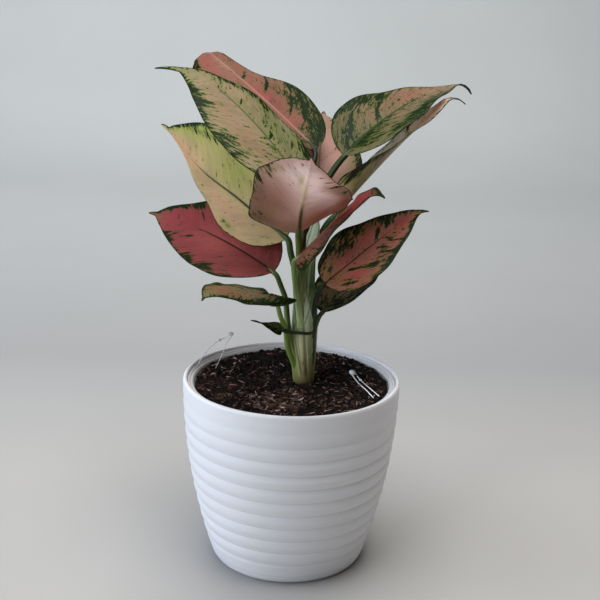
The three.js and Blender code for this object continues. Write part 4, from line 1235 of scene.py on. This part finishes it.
            (0.22, 0.28, 1.9, 3, 0.8), (0.53, -0.22, 1.5, 2, 0.72), (0.56, -0.36, 1.5, 3, 0.72),
            (0.36, 0.6, 1.4, 3, 0.6),
            (0.34, -0.4, 1.0, 3, 0.4), (0.55, 0.1, 1.1, 1.6, 0.5), (0.48, 0.34, 1.1, 2.4, 0.55),
            (0.5, 0.7, 1.3, 3, 0.6),
            (0.16, 0.7, 1.2, 2, 0.55), (0.64, 0.3, 0.8, 2, 0.36), (0.42, -0.6, 1.0, 3, 0.45),
            (0.66, -0.5, 1.6, 4, 0.6),
            (0.26, -0.55, 1.1, 2.4, 0.5), (0.3, 0.5, 1.1, 2, 0.5), (0.13, -0.42, 1.0, 2, 0.45),
            (0.6, 0.62, 1.1, 3, 0.45),
        ],
        "left": [(0, 3.4), (0.2, 3), (0.4, 2), (0.7, 2.4), (0.9, 1.4), (1, 1.5)],
        "right": [(0, 1), (0.3, 1.6), (0.5, 2.2), (0.8, 2), (1, 1.5)],
    },
    "leaf_low_right_back": {
        # painted light: the tone and the two pink washes are made lighter to lift the blade, which lies in
        # the shade of leaf_right
        **greenLook, "chunky": 1.5, "tone": (164, 138, 106), "speckle": 0.24, "rib": (112, 104, 68, 0.7),
        "ribWidth": 0.6,
        "washes": [
            ((196, 140, 118), 0.42, 0.2, 0.14, 0.4, 0.8), ((192, 134, 110), 0.55, -0.2, 0.14, 0.4, 0.8),
            ((116, 124, 88), 0.06, 0.2, 0.1, 1.0, 0.8),
        ],
        "green": [
            (0.15, 0.4, 0.12, 0.7, 0.3), (0.5, 0.85, 0.3, 0.2, 0.3), (0.5, -0.85, 0.3, 0.2, 0.3),
            (0.8, 0.0, 0.1, 1.0, 0.2),
        ],
        "streaks": [(0.45, 0.3, 1.3, 4, 0.3), (0.6, -0.3, 1.3, 5, 0.4)],
        "left": [(0, 3), (0.5, 2), (1, 2)],
        "right": [(0, 3), (0.5, 2.4), (1, 2)],
    },
    "leaf_back": {
        **paleLook, "tone": (204, 164, 152), "speckle": 0.04, "rib": (140, 132, 78, 0.8), "ribWidth": 0.6,
        "washes": [
            ((140, 144, 74), 0.5, 0.85, 0.3, 0.25, 0.8), ((186, 148, 126), 0.15, 0.0, 0.12, 0.8, 0.6),
            ((170, 158, 108), 0.8, 0.5, 0.14, 0.5, 0.5),
        ],
        "green": [(0.4, 0.9, 0.2, 0.12, 0.4), (0.7, -0.8, 0.14, 0.2, 0.3), (0.2, -0.8, 0.1, 0.2, 0.3)],
        "streaks": [(0.5, 0.6, 1.2, 5, 0.4), (0.6, -0.4, 1.2, 5, 0.4)],
        "left": [(0, 1.5), (0.5, 2.4), (0.8, 1.6), (1, 1.5)],
        "right": [(0, 1.5), (0.4, 3), (0.7, 2.4), (1, 1.5)],
    },
    "bract": {
        **greenLook, "tone": (58, 72, 44), "speckle": 0.34, "rib": (70, 84, 50, 0.7), "ribWidth": 0.4,
        "washes": [((96, 118, 92), 0.5, 0.95, 0.5, 0.3, 0.7), ((96, 118, 92), 0.5, -0.95, 0.5, 0.3, 0.5)],
        "green": [(0.3, -0.5, 0.3, 0.6, 0.3)],
        "streaks": [(0.5, 0.3, 0.8, 3, 0.4)],
        "left": [(0, 1), (1, 1)],
        "right": [(0, 1), (1, 1)],
    },
}


def leafFinish(name, seed, look):
    # ground colour from the blade; three sizes of noise, stretched along the side veins, are summed and the
    # blade's density is added: above one height it is dark green, just below it pale green, then olive haze
    finish = Finish(name + " tissue", 0.5, Specular_IOR_Level=0.16)
    ground = finish.attribute("ownTone")
    start, offset, underside = finish.parts(finish.attribute("veinMap"))
    rimGap, ribShare, density = finish.parts(finish.attribute("marks"))
    flow = finish.add("CombineXYZ", {0: start, 1: offset, 2: 7.3 * seed}).outputs[0]
    chunky = look["chunky"]
    broad = finish.noise(finish.stretch(flow, (0.28, 0.15 * chunky, 1)), 1.0, 2)
    middle = finish.noise(finish.stretch(flow, (0.7, 0.38 * chunky, 2)), 1.0, 2)
    fine = finish.noise(finish.stretch(flow, (1.6, 0.95, 3)), 1.0, 1)
    blend = finish.timesPlus(broad, 0.65, -0.25)
    blend = finish.timesPlus(middle, 0.55, blend)
    blend = finish.timesPlus(fine, 0.3, blend)
    level = finish.timesPlus(density, 0.64, blend)
    cloud = finish.noise(finish.stretch(flow, (0.06, 0.05, 1)), 1.0, 3)
    colour = finish.mix(finish.ramp(cloud, 0.35, 0.65, 0.86, 1.1), screen(0, 0, 0), ground)
    gap = finish.math("PINGPONG", finish.timesPlus(fine, 1.6, start), leafMesh["veinGap"] / 2)
    vein = finish.ramp(gap, 0.5, 0.1)
    colour = finish.mix(finish.times(vein, 0.10), colour, screen(*leafTones["vein"]))
    colour = finish.mix(finish.ramp(level, 0.62, 0.74, 0.0, 0.65), colour, screen(*look["haze"]))
    colour = finish.mix(finish.ramp(level, 0.705, 0.755, 0.0, 0.9), colour, screen(*look["halo"]))
    colour = finish.mix(finish.ramp(level, 0.775, 0.795), colour, screen(*leafTones["darkGreen"]))
    colour = finish.mix(ribShare, colour, finish.attribute("ribTone"))
    rim = finish.plus(fine, rimGap)
    colour = finish.mix(finish.ramp(rim, 1.1, 0.8), colour, screen(*leafTones["darkGreen"]))
    colour = finish.mix(finish.times(underside, 0.12), colour, screen(*leafTones["underside"]))
    relief = finish.math("SUBTRACT", finish.times(fine, 0.5), finish.times(vein, 0.6))
    finish.bump(relief, 0.18, 0.6)
    finish.letThrough(colour, look["through"])
    return finish.done(colour, finish.ramp(middle, 0.3, 0.7, 0.42, 0.56))


def paintBlade(leaf, look, s, v, d, start):
    # washes and densities are bells exp(-(x/a)^2 - (y/b)^2) laid over one another, and the green border is
    # 0.5 exp(-(gap to the margin / depth)^1.3)
    tone = np.zeros(s.shape + (3,)) + screen(*look["tone"])
    for colour, s0, v0, reachS, reachV, strength in look["washes"]:
        tone = tint(tone, strength * bell((s - s0, reachS), (v - v0, reachV)), colour)
    density = np.full(s.shape, float(look["speckle"]))
    for s0, v0, reachS, reachV, amount in look["green"]:
        density = density + amount * bell((s - s0, reachS), (v - v0, reachV))
    rimGap = sideWidth(leaf, s, v) * (1 - np.abs(v))
    for key, side in (("left", v < 0), ("right", v >= 0)):
        depth = np.interp(s, *np.array(look[key], float).T)
        density = density + side * 0.5 * np.exp(-((rimGap / np.maximum(depth, 0.1)) ** 1.3))
    density = np.minimum(density, 0.56)
    for s0, v0, wide, long, amount in look["streaks"]:
        d0 = v0 * sideWidth(leaf, np.array(s0), v0)
        streak = bell((start - veinStart(leaf, s0, d0), wide), (d - d0, long))
        density = density + amount * streak * (v * v0 >= 0)
    return tone, np.clip(density, 0, 1.1), rimGap


def onBothSkins(field):
    # values for the rings round a blade: the upper skin from left to right, then the lower one back
    return np.concatenate([field, field[:, ::-1]], axis=1)


def buildLeaf(name, seed):
    # two skins a little apart that meet round the margin, closed at the foot and at the tip
    leaf, look = blades[name], looks[name]
    rows, half = leafMesh["smallGrid" if leaf["length"] < leafMesh["smallBelow"] else "grid"]
    side = np.linspace(0, 1, half + 1) ** 1.3
    columns = np.concatenate([-side[::-1], side[1:]])
    s, v = np.meshgrid(np.linspace(0, 1, rows) ** 1.2, columns, indexing="ij")
    width = sideWidth(leaf, s, v)
    d = v * width
    start = veinStart(leaf, s, d)
    veinAt = start + 2.4 * valueNoise(start / 23, np.sign(v) * 3 + seed, seed + 40)
    ribD = d - look["ribDrift"] * width * smoothStep(0.3, 0.68, s)
    upper, lower = (bladeSurface(leaf, s, v, lift) for lift in bladeLifts(leaf, seed, s, v, ribD, veinAt))
    points = np.concatenate([upper, lower[:, ::-1]], axis=1).reshape(-1, 3)
    ring = 2 * len(columns)
    i = np.arange(len(columns) - 1)
    footCap = np.stack([i + 1, i, ring - 1 - i, ring - 2 - i], -1)
    tipCap = footCap[:, [1, 0, 3, 2]] + (rows - 1) * ring
    faceSets = turnOutward(points, [np.vstack([loopFaces(rows, ring), footCap, tipCap])])
    tone, density, rimGap = paintBlade(leaf, look, s, v, d, start)
    *ribColour, ribEnd = look["rib"]
    ribShare = np.exp(-((ribD / (look["ribWidth"] * (1.25 - s))) ** 4))
    ribShare = ribShare * smoothStep(ribEnd + 0.12, ribEnd - 0.1, s)
    underside = np.concatenate([s * 0, s * 0 + 1], axis=1)
    attributes = {
        "ownTone": onBothSkins(tone),
        "veinMap": np.stack([onBothSkins(veinAt), onBothSkins(d), underside], -1),
        "marks": onBothSkins(np.stack([rimGap, ribShare, density], -1)),
        "ribTone": np.zeros(points.shape) + screen(*ribColour),
    }
    piece = name.replace("leaf", "blade").replace("bract", "bract_blade")
    makePiece(piece, points, faceSets, leafFinish(name, seed, look), [name], attributes)


for number, leafName in enumerate(blades):
    buildLeaf(leafName, number + 1)
print("leaves built:", len(blades))


# The stem with its sheaths and leaf stalks.

cane = {
    "levels": [  # x, y, z, radius
        (9, 3, 104, 6.2), (9, 3, 132, 6.4), (8.8, 2.8, 137, 8), (8.7, 2.5, 147, 8.7), (8.6, 2, 163, 9),
        (8.5, 1, 180, 9.3),
        (8.5, 0, 195, 8.4), (8.5, 0.5, 210, 6.2), (9.5, 1, 228, 5.4), (11.5, 2, 242, 5), (14, 3, 253, 3.4),
        (15, 3.4, 262, 1),
    ],
    "tones": [
        (130, (84, 72, 42)), (138, (124, 110, 64)), (150, (152, 148, 96)), (178, (162, 172, 126)),
        (196, (140, 158, 108)), (210, (60, 82, 42)), (226, (112, 138, 88)), (240, (210, 228, 200)),
    ],
    # colour, angle round the cane, height, reach in degrees and in mm, strength
    "patches": [
        ((160, 142, 100), 268, 147, 34, 12, 0.9), ((200, 190, 150), 262, 167, 26, 11, 0.9),
        ((226, 234, 210), 262, 190, 24, 12, 0.95), ((112, 132, 54), 214, 148, 24, 14, 0.75),
        ((120, 138, 62), 326, 150, 24, 18, 0.75), ((92, 62, 40), 282, 145, 10, 3, 0.7),
        ((96, 66, 44), 264, 152, 7, 2, 0.5), ((104, 98, 54), 268, 136, 60, 3, 0.6),
    ],
    # sheath edges: from (angle, height) to (angle, height)
    "edges": [
        ((272, 206), (205, 176)), ((274, 206), (322, 182)), ((306, 204), (262, 181)),
        ((232, 196), (250, 178)),
        ((350, 170), (296, 155)), ((214, 172), (262, 140)), ((246, 228), (240, 196)),
        ((300, 232), (292, 204)),
        ((60, 200), (20, 160)), ((120, 210), (90, 165)), ((160, 190), (190, 150)),
    ],
    "flute": 0.05,
    "lap": 0.06,
    "clearFrom": 137,  # the sheaths show above this height
    "winding": 120,  # mm of height to one radian
    "rows": 220,
    "sides": 144,
}
stalks = {
    "leaf_upper_left_front": {
        "way": [(7, -3, 180), (6, -7, 215), (6, -12, 255)], "radius": (3.2, 1.6),
        "tones": ((54, 74, 38), (170, 184, 140)),
    },
    "leaf_upper_left_back": {
        "way": [(10, 4, 180), (9, 8, 218), (8.5, 15, 258), (9, 22, 276), (11, 34, 291)], "radius": (3.2, 2),
        "tones": ((20, 30, 14), (52, 68, 34)), "end": (24, 36, 16),
    },
    "leaf_left": {
        "way": [(5, -3, 178), (1.8, -6, 208), (0, -8, 225), (-3.8, -8.6, 239)], "radius": (3, 2.3),
        "tones": ((60, 78, 32), (98, 118, 52)),
    },
    "leaf_lower_left": {
        "way": [
            (3, -1, 155), (-1.5, -3, 168), (-3.6, -4, 180), (-4.8, -4.5, 191), (-5.8, -4.6, 201),
            (-10, -6.5, 212),
        ],
        "radius": (2.9, 1.8), "tones": ((84, 106, 50), (160, 172, 104)),
    },
    "leaf_low_left_small": {
        "way": [
            (5.6, 1, 139), (2.6, -1, 149), (-3, -3.6, 163), (-4.2, -6, 171), (-5.2, -9.5, 180),
            (-8.7, -14, 189),
        ],
        "radius": (3.4, 1.6), "tones": ((118, 140, 66), (118, 142, 62)),
    },
    "leaf_front": {
        "way": [(6, -4, 180), (4.4, -8, 209), (3.2, -11, 229), (2.8, -13.5, 241)], "radius": (3.2, 2.3),
        "tones": ((92, 104, 48), (150, 164, 96)),
    },
    "leaf_upper_right": {
        "way": [(10, 2, 190), (11, 3, 235), (14, 5, 262), (20, 6, 284), (25, 6, 292.4)], "radius": (4, 2.2),
        "tones": ((40, 56, 24), (120, 140, 84)),
    },
    "leaf_right_folded": {
        "way": [(11, 3, 188), (11.5, 5.5, 212), (14.5, 7, 236), (21.5, 5, 254)], "radius": (3, 1.9),
        "tones": ((66, 90, 48), (130, 150, 96)),
    },
    "leaf_centre_young": {
        "way": [(6, -6, 180), (2.5, -12, 205), (0, -16, 221)], "radius": (2.8, 1.8),
        "tones": ((112, 134, 72), (170, 184, 130)),
    },
    "leaf_right": {
        "way": [(13, -3, 172), (14.1, -4, 188), (15.8, -6.5, 199), (17.8, -8, 207.4)], "radius": (2.8, 1.8),
        # near-black green: painted shade on a stalk that hangs in shadow under its blade
        "tones": ((22, 32, 16), (48, 64, 34)),
    },
    "leaf_low_right_back": {
        "way": [(12.2, 0.5, 139), (14.2, -1, 152), (15.1, -2.2, 164), (15.4, -2.8, 176), (17.6, -2, 184)],
        "radius": (2.8, 1.7), "tones": ((64, 82, 46), (60, 78, 36)),
    },
    "leaf_back": {
        "way": [(11, 5, 185), (12, 10, 218), (13, 18, 248)], "radius": (3, 1.9),
        "tones": ((66, 90, 48), (120, 140, 90)),
    },
}
stalkMesh = {"rows": 70, "sides": 24, "neck": 3, "softenings": 14}
band = {
    "way": [
        (16, -4.5, 176.2), (12, -8.2, 176), (6, -9.6, 176.6), (0, -10.2, 177.2), (-4.4, -12.4, 178.4),
        (-7.4, -13.9, 179.9),
    ],
    "rows": 50,
    "sides": 12,
    "halfAcross": 1.25,
    "halfThick": 0.7,
    "taper": (0.75, 1.1),
    "grainAt": 91.0,
}
stemTones = {"pale": (196, 206, 168), "dark": (46, 66, 30), "brown": (122, 96, 56), "band": (38, 54, 30)}


def stemFinish():
    # green tissue in long streaks: noise drawn out along the length darkens or lightens the ground colour
    finish = Finish("stem tissue", 0.42, Specular_IOR_Level=0.28)
    ground = finish.attribute("ownTone")
    grain = finish.attribute("grain")
    streak = finish.noise(finish.stretch(grain, (0.7, 0.035, 1)), 1.0, 3, 0.6)
    thin = finish.noise(finish.stretch(grain, (1.9, 0.05, 1)), 1.0, 2, 0.6)
    spots = finish.noise(finish.stretch(grain, (0.8, 0.5, 1)), 1.0, 3, 0.7)
    darker, lighter = finish.stretch(ground, (0.42, 0.52, 0.38)), finish.stretch(ground, (1.4, 1.34, 1.5))
    colour = finish.mix(finish.ramp(streak, 0.4, 0.62, 0.0, 0.6), ground, darker)
    colour = finish.mix(finish.ramp(thin, 0.5, 0.64, 0.0, 0.6), colour, lighter)
    colour = finish.mix(finish.ramp(spots, 0.64, 0.74, 0.0, 0.35), colour, screen(*stemTones["brown"]))
    finish.bump(finish.plus(streak, thin), 0.25, 0.6)
    return finish.done(colour, finish.ramp(thin, 0.3, 0.7, 0.34, 0.5))


def turnGap(turn, angle):
    # degrees from an angle to a turn in radians, the short way round: -180 to 180
    return (np.degrees(turn) - angle + 180) % 360 - 180


def sheathEdges(turn, z, radius):
    # a dark line and a light one beside it along each edge: bells across it that fade at both ends
    dark, light = np.zeros(turn.shape), np.zeros(turn.shape)
    for (angle0, z0), (angle1, z1) in cane["edges"]:
        t = (z - z0) / (z1 - z0)
        gap = np.radians(turnGap(turn, angle0 + (angle1 - angle0) * t)) * radius
        within = smoothStep(0, 0.12, t) * smoothStep(1, 0.85, t)
        dark = np.maximum(dark, within * bell((gap - 0.5, 0.5)))
        light = np.maximum(light, within * bell((gap + 0.7, 0.9)))
    return dark, light


def buildCane():
    # rings round the cane's middle line; each carries four sheath edges, (1 + flute cos(4 turn)), that wind
    # slowly upwards, each with a soft step where one sheath laps the next
    levels = np.array(cane["levels"], float)
    z = np.linspace(levels[0, 2], levels[-1, 2], cane["rows"])
    x, y, radius = (np.interp(z, levels[:, 2], levels[:, k])[:, None] for k in (0, 1, 3))
    heights = [height for height, colour in cane["tones"]]
    colours = np.array([screen(*colour) for height, colour in cane["tones"]])
    tone = np.stack([np.interp(z, heights, colours[:, k]) for k in range(3)], -1)[:, None]
    z = z[:, None]
    base = around(cane["sides"])
    turn = base - z / cane["winding"]
    rise = np.clip((z - cane["clearFrom"]) / 10, 0, 1)
    sector = (4 * base / (2 * np.pi)) % 1
    lap = sector**3 * smoothStep(1, 0.86, sector)
    out = radius * (1 + rise * (cane["flute"] * np.cos(4 * base) - cane["lap"] * lap))
    dark, light = sheathEdges(turn, z, radius)
    out = out + 0.3 * light - 0.15 * dark
    rings = np.stack(np.broadcast_arrays(x + out * np.cos(turn), y + out * np.sin(turn), z), -1)
    ends = [rings[0].mean(0), rings[-1].mean(0) + [0, 0, 0.8]]
    for colour, angle, height, reachTurn, reachUp, strength in cane["patches"]:
        tone = tint(tone, strength * bell((turnGap(turn, angle), reachTurn), (z - height, reachUp)), colour)
    shade = rise * smoothStep(0.72, 0.9, sector) * smoothStep(1.0, 0.93, sector)
    tone = tint(tone, 0.7 * shade, stemTones["dark"])
    tone = tint(tone, 0.6 * rise * smoothStep(0.1, 0.0, sector), stemTones["pale"])
    tone = tint(tone, 0.4 * light, stemTones["pale"])
    tone = tint(tone, 0.6 * dark, stemTones["dark"])
    grain = np.stack(np.broadcast_arrays(radius * base, z, 0.0), -1)
    return closeRings(rings, ends), withEnds(tone), withEnds(grain)


def buildStalk(name, seed):
    # a tube from the cane to the blade that tapers as the root of the way, grooved on its upper side,
    # then runs on below the midrib and thins away
    leaf, stalk = blades[name], stalks[name]
    foot = np.array(leaf["at"], float)
    tangent, normal = bladeFrame(leaf, np.zeros(1))[::2]
    neck = foot - tangent[0] * stalkMesh["neck"]
    small = min(1.0, leaf["length"] / 110)
    under = np.array([0.03, 0.07, 0.12]) * small
    ribLine = midrib(leaf, under) - bladeFrame(leaf, under)[2] * np.array([[1.0], [1.0], [0.8]])
    path, length = smoothPath([*stalk["way"], neck, foot - normal[0] * 0.5, *ribLine], stalkMesh["rows"])
    for repeat in range(stalkMesh["softenings"]):
        path[1:-1] = 0.5 * path[1:-1] + 0.25 * (path[:-2] + path[2:])
    t = np.linspace(0, 1, stalkMesh["rows"])[:, None]
    beyond = np.linalg.norm(ribLine[-1] - foot) / length
    share = np.clip(t / (1 - beyond), 0, 1)
    first, last = stalk["radius"]
    radius = first + (last - first) * np.sqrt(share)
    radius = radius * (1 - 0.86 * smoothStep(1 - beyond * 1.1, 1, t))
    turn = around(stalkMesh["sides"])
    away = np.minimum(turn, 2 * np.pi - turn)
    sheath = smoothStep(0.55, 0.1, share)
    groove = bell((away, 0.55)) * (0.22 + 0.2 * sheath)
    wings = bell((away - 0.95, 0.4)) * 0.14 * sheath
    outward = along(bladeWay(leaf, np.array(0.0))[0], 0.0)
    tone = tint(screen(*stalk["tones"][0]), smoothStep(0.6, 0.15, share), stalk["tones"][1])
    tone = tint(tone, 0.6 * bell((away, 0.5)), stemTones["dark"])
    tone = tint(tone, smoothStep(1 - beyond, 1, t), stalk.get("end", looks[name]["rib"][:3]))
    grain = np.stack(np.broadcast_arrays(radius * turn, t * length, 11.0 * seed), -1)
    return tube(path, radius * (1 - groove + wings), -outward), withEnds(tone), withEnds(grain)


def buildBand():
    # the bract's dark foot, a flat strip round the front of the stem: an ellipse carried along the way
    path, length = smoothPath(band["way"], band["rows"])
    turn = around(band["sides"])
    oval = 1 / np.sqrt((np.cos(turn) / band["halfAcross"]) ** 2 + (np.sin(turn) / band["halfThick"]) ** 2)
    taper = np.linspace(*band["taper"], band["rows"])[:, None]
    points, faceSets = tube(path, taper * oval, np.array([0.0, 0.0, 1.0]))
    tones = np.zeros(points.shape) + screen(*stemTones["band"])
    run = np.linspace(0, length, band["rows"])[:, None]
    grain = np.stack(np.broadcast_arrays(turn, run, band["grainAt"]), -1)
    return (points, faceSets), tones, withEnds(grain)


def buildStem():
    # cane, band and stalks in one piece
    made = [buildCane(), buildBand()]
    for seed, name in enumerate(stalks):
        made.append(buildStalk(name, seed + 1))
    points, faceSets = joinShapes([shape for shape, tones, grains in made])
    attributes = {
        "ownTone": np.vstack([tones for shape, tones, grains in made]),
        "grain": np.vstack([grains for shape, tones, grains in made]),
    }
    makePiece("stem_and_stalks", points, faceSets, stemFinish(), ["stem"], attributes)


buildStem()
print("stem built")


# The two nylon loop pins.

pins = {"sides": 12, "rows": 110, "beadSizes": (1.1, 1.0, 1.0), "outward": (0.13, -0.21, 0.97)}
lyingPin = {
    "clear": 0.0,
    "radius": 0.41,
    "above": 1.8,  # over the soil
    "way": [
        (63.5, -27), (57, -10), (51.5, 6), (47.5, 17), (45, 18), (46.4, 12), (50, -4), (54.5, -16),
        (59, -29.5),
    ],
    "head": (46, 18),
    "headSizes": (3.6, 2.2, 1.9),
    "headTurn": 2.0,
    "bead": (51.5, 6),
}
standingPin = {
    "clear": 0.55,
    "radius": 0.36,
    "way": [
        (-71.6, 21, 138.9), (-64, 21, 151), (-55, 21, 159.4), (-50, 21, 161.5), (-45.2, 21, 165.5),
        (-45.6, 21.5, 163.5), (-49.3, 21.4, 158), (-52.5, 20.4, 149), (-57.8, 19, 137.3),
    ],
    "head": (-46.5, 21, 164.6),
    "headSizes": (2.3, 1.0, 1.3),
    "headTurn": 0,
    "bead": (-55, 21, 159.4),
}


def pinFinish(name, clear):
    # clear to white nylon: pale, with some light let in and faint clouding
    finish = Finish(name, 0.25, Transmission_Weight=clear, IOR=1.4)
    cloud = finish.noise(finish.place(), 0.8, 2)
    return finish.done(finish.mix(cloud, screen(232, 232, 230), screen(252, 252, 250)))


def ellipsoid(centre, sizes, heading, rows=14, sides=20):
    # rings of a ball, each pushed out by its size along x, y and z, then turned about Z
    fall = (np.pi * np.arange(1, rows) / rows)[:, None]
    turn = around(sides)
    x = np.sin(fall) * np.cos(turn) * sizes[0]
    y = np.sin(fall) * np.sin(turn) * sizes[1]
    turnedX = x * np.cos(heading) - y * np.sin(heading)
    turnedY = x * np.sin(heading) + y * np.cos(heading)
    rings = np.stack(np.broadcast_arrays(turnedX, turnedY, np.cos(fall) * sizes[2]), -1)
    poles = np.array([[0, 0, sizes[2]], [0, 0, -sizes[2]]])
    return closeRings(rings + np.array(centre, float), poles + np.array(centre, float))


def buildPin(name, node, pin):
    # a thin strand along its way, with a moulded head and a bead on it
    path = smoothPath(pin["way"], pins["rows"])[0]
    strand = tube(path, np.full((pins["rows"], pins["sides"]), pin["radius"]), np.array(pins["outward"]))
    head = ellipsoid(pin["head"], pin["headSizes"], pin["headTurn"])
    points, faceSets = joinShapes([strand, head, ellipsoid(pin["bead"], pins["beadSizes"], 0)])
    makePiece(name, points, faceSets, pinFinish(name + " nylon", pin["clear"]), [node])


def overSoil(x, y):
    # the point at this place that lies just over the potting mix
    return x, y, float(soilHeight(np.array(x), np.array(y))) + lyingPin["above"]


laid = {key: overSoil(*lyingPin[key]) for key in ("head", "bead")}
laid["way"] = [overSoil(*stop) for stop in lyingPin["way"]]
buildPin("pin_lying", "loop_pin_lying", {**lyingPin, **laid})
buildPin("pin_standing", "loop_pin_standing", standingPin)
print("pins built")
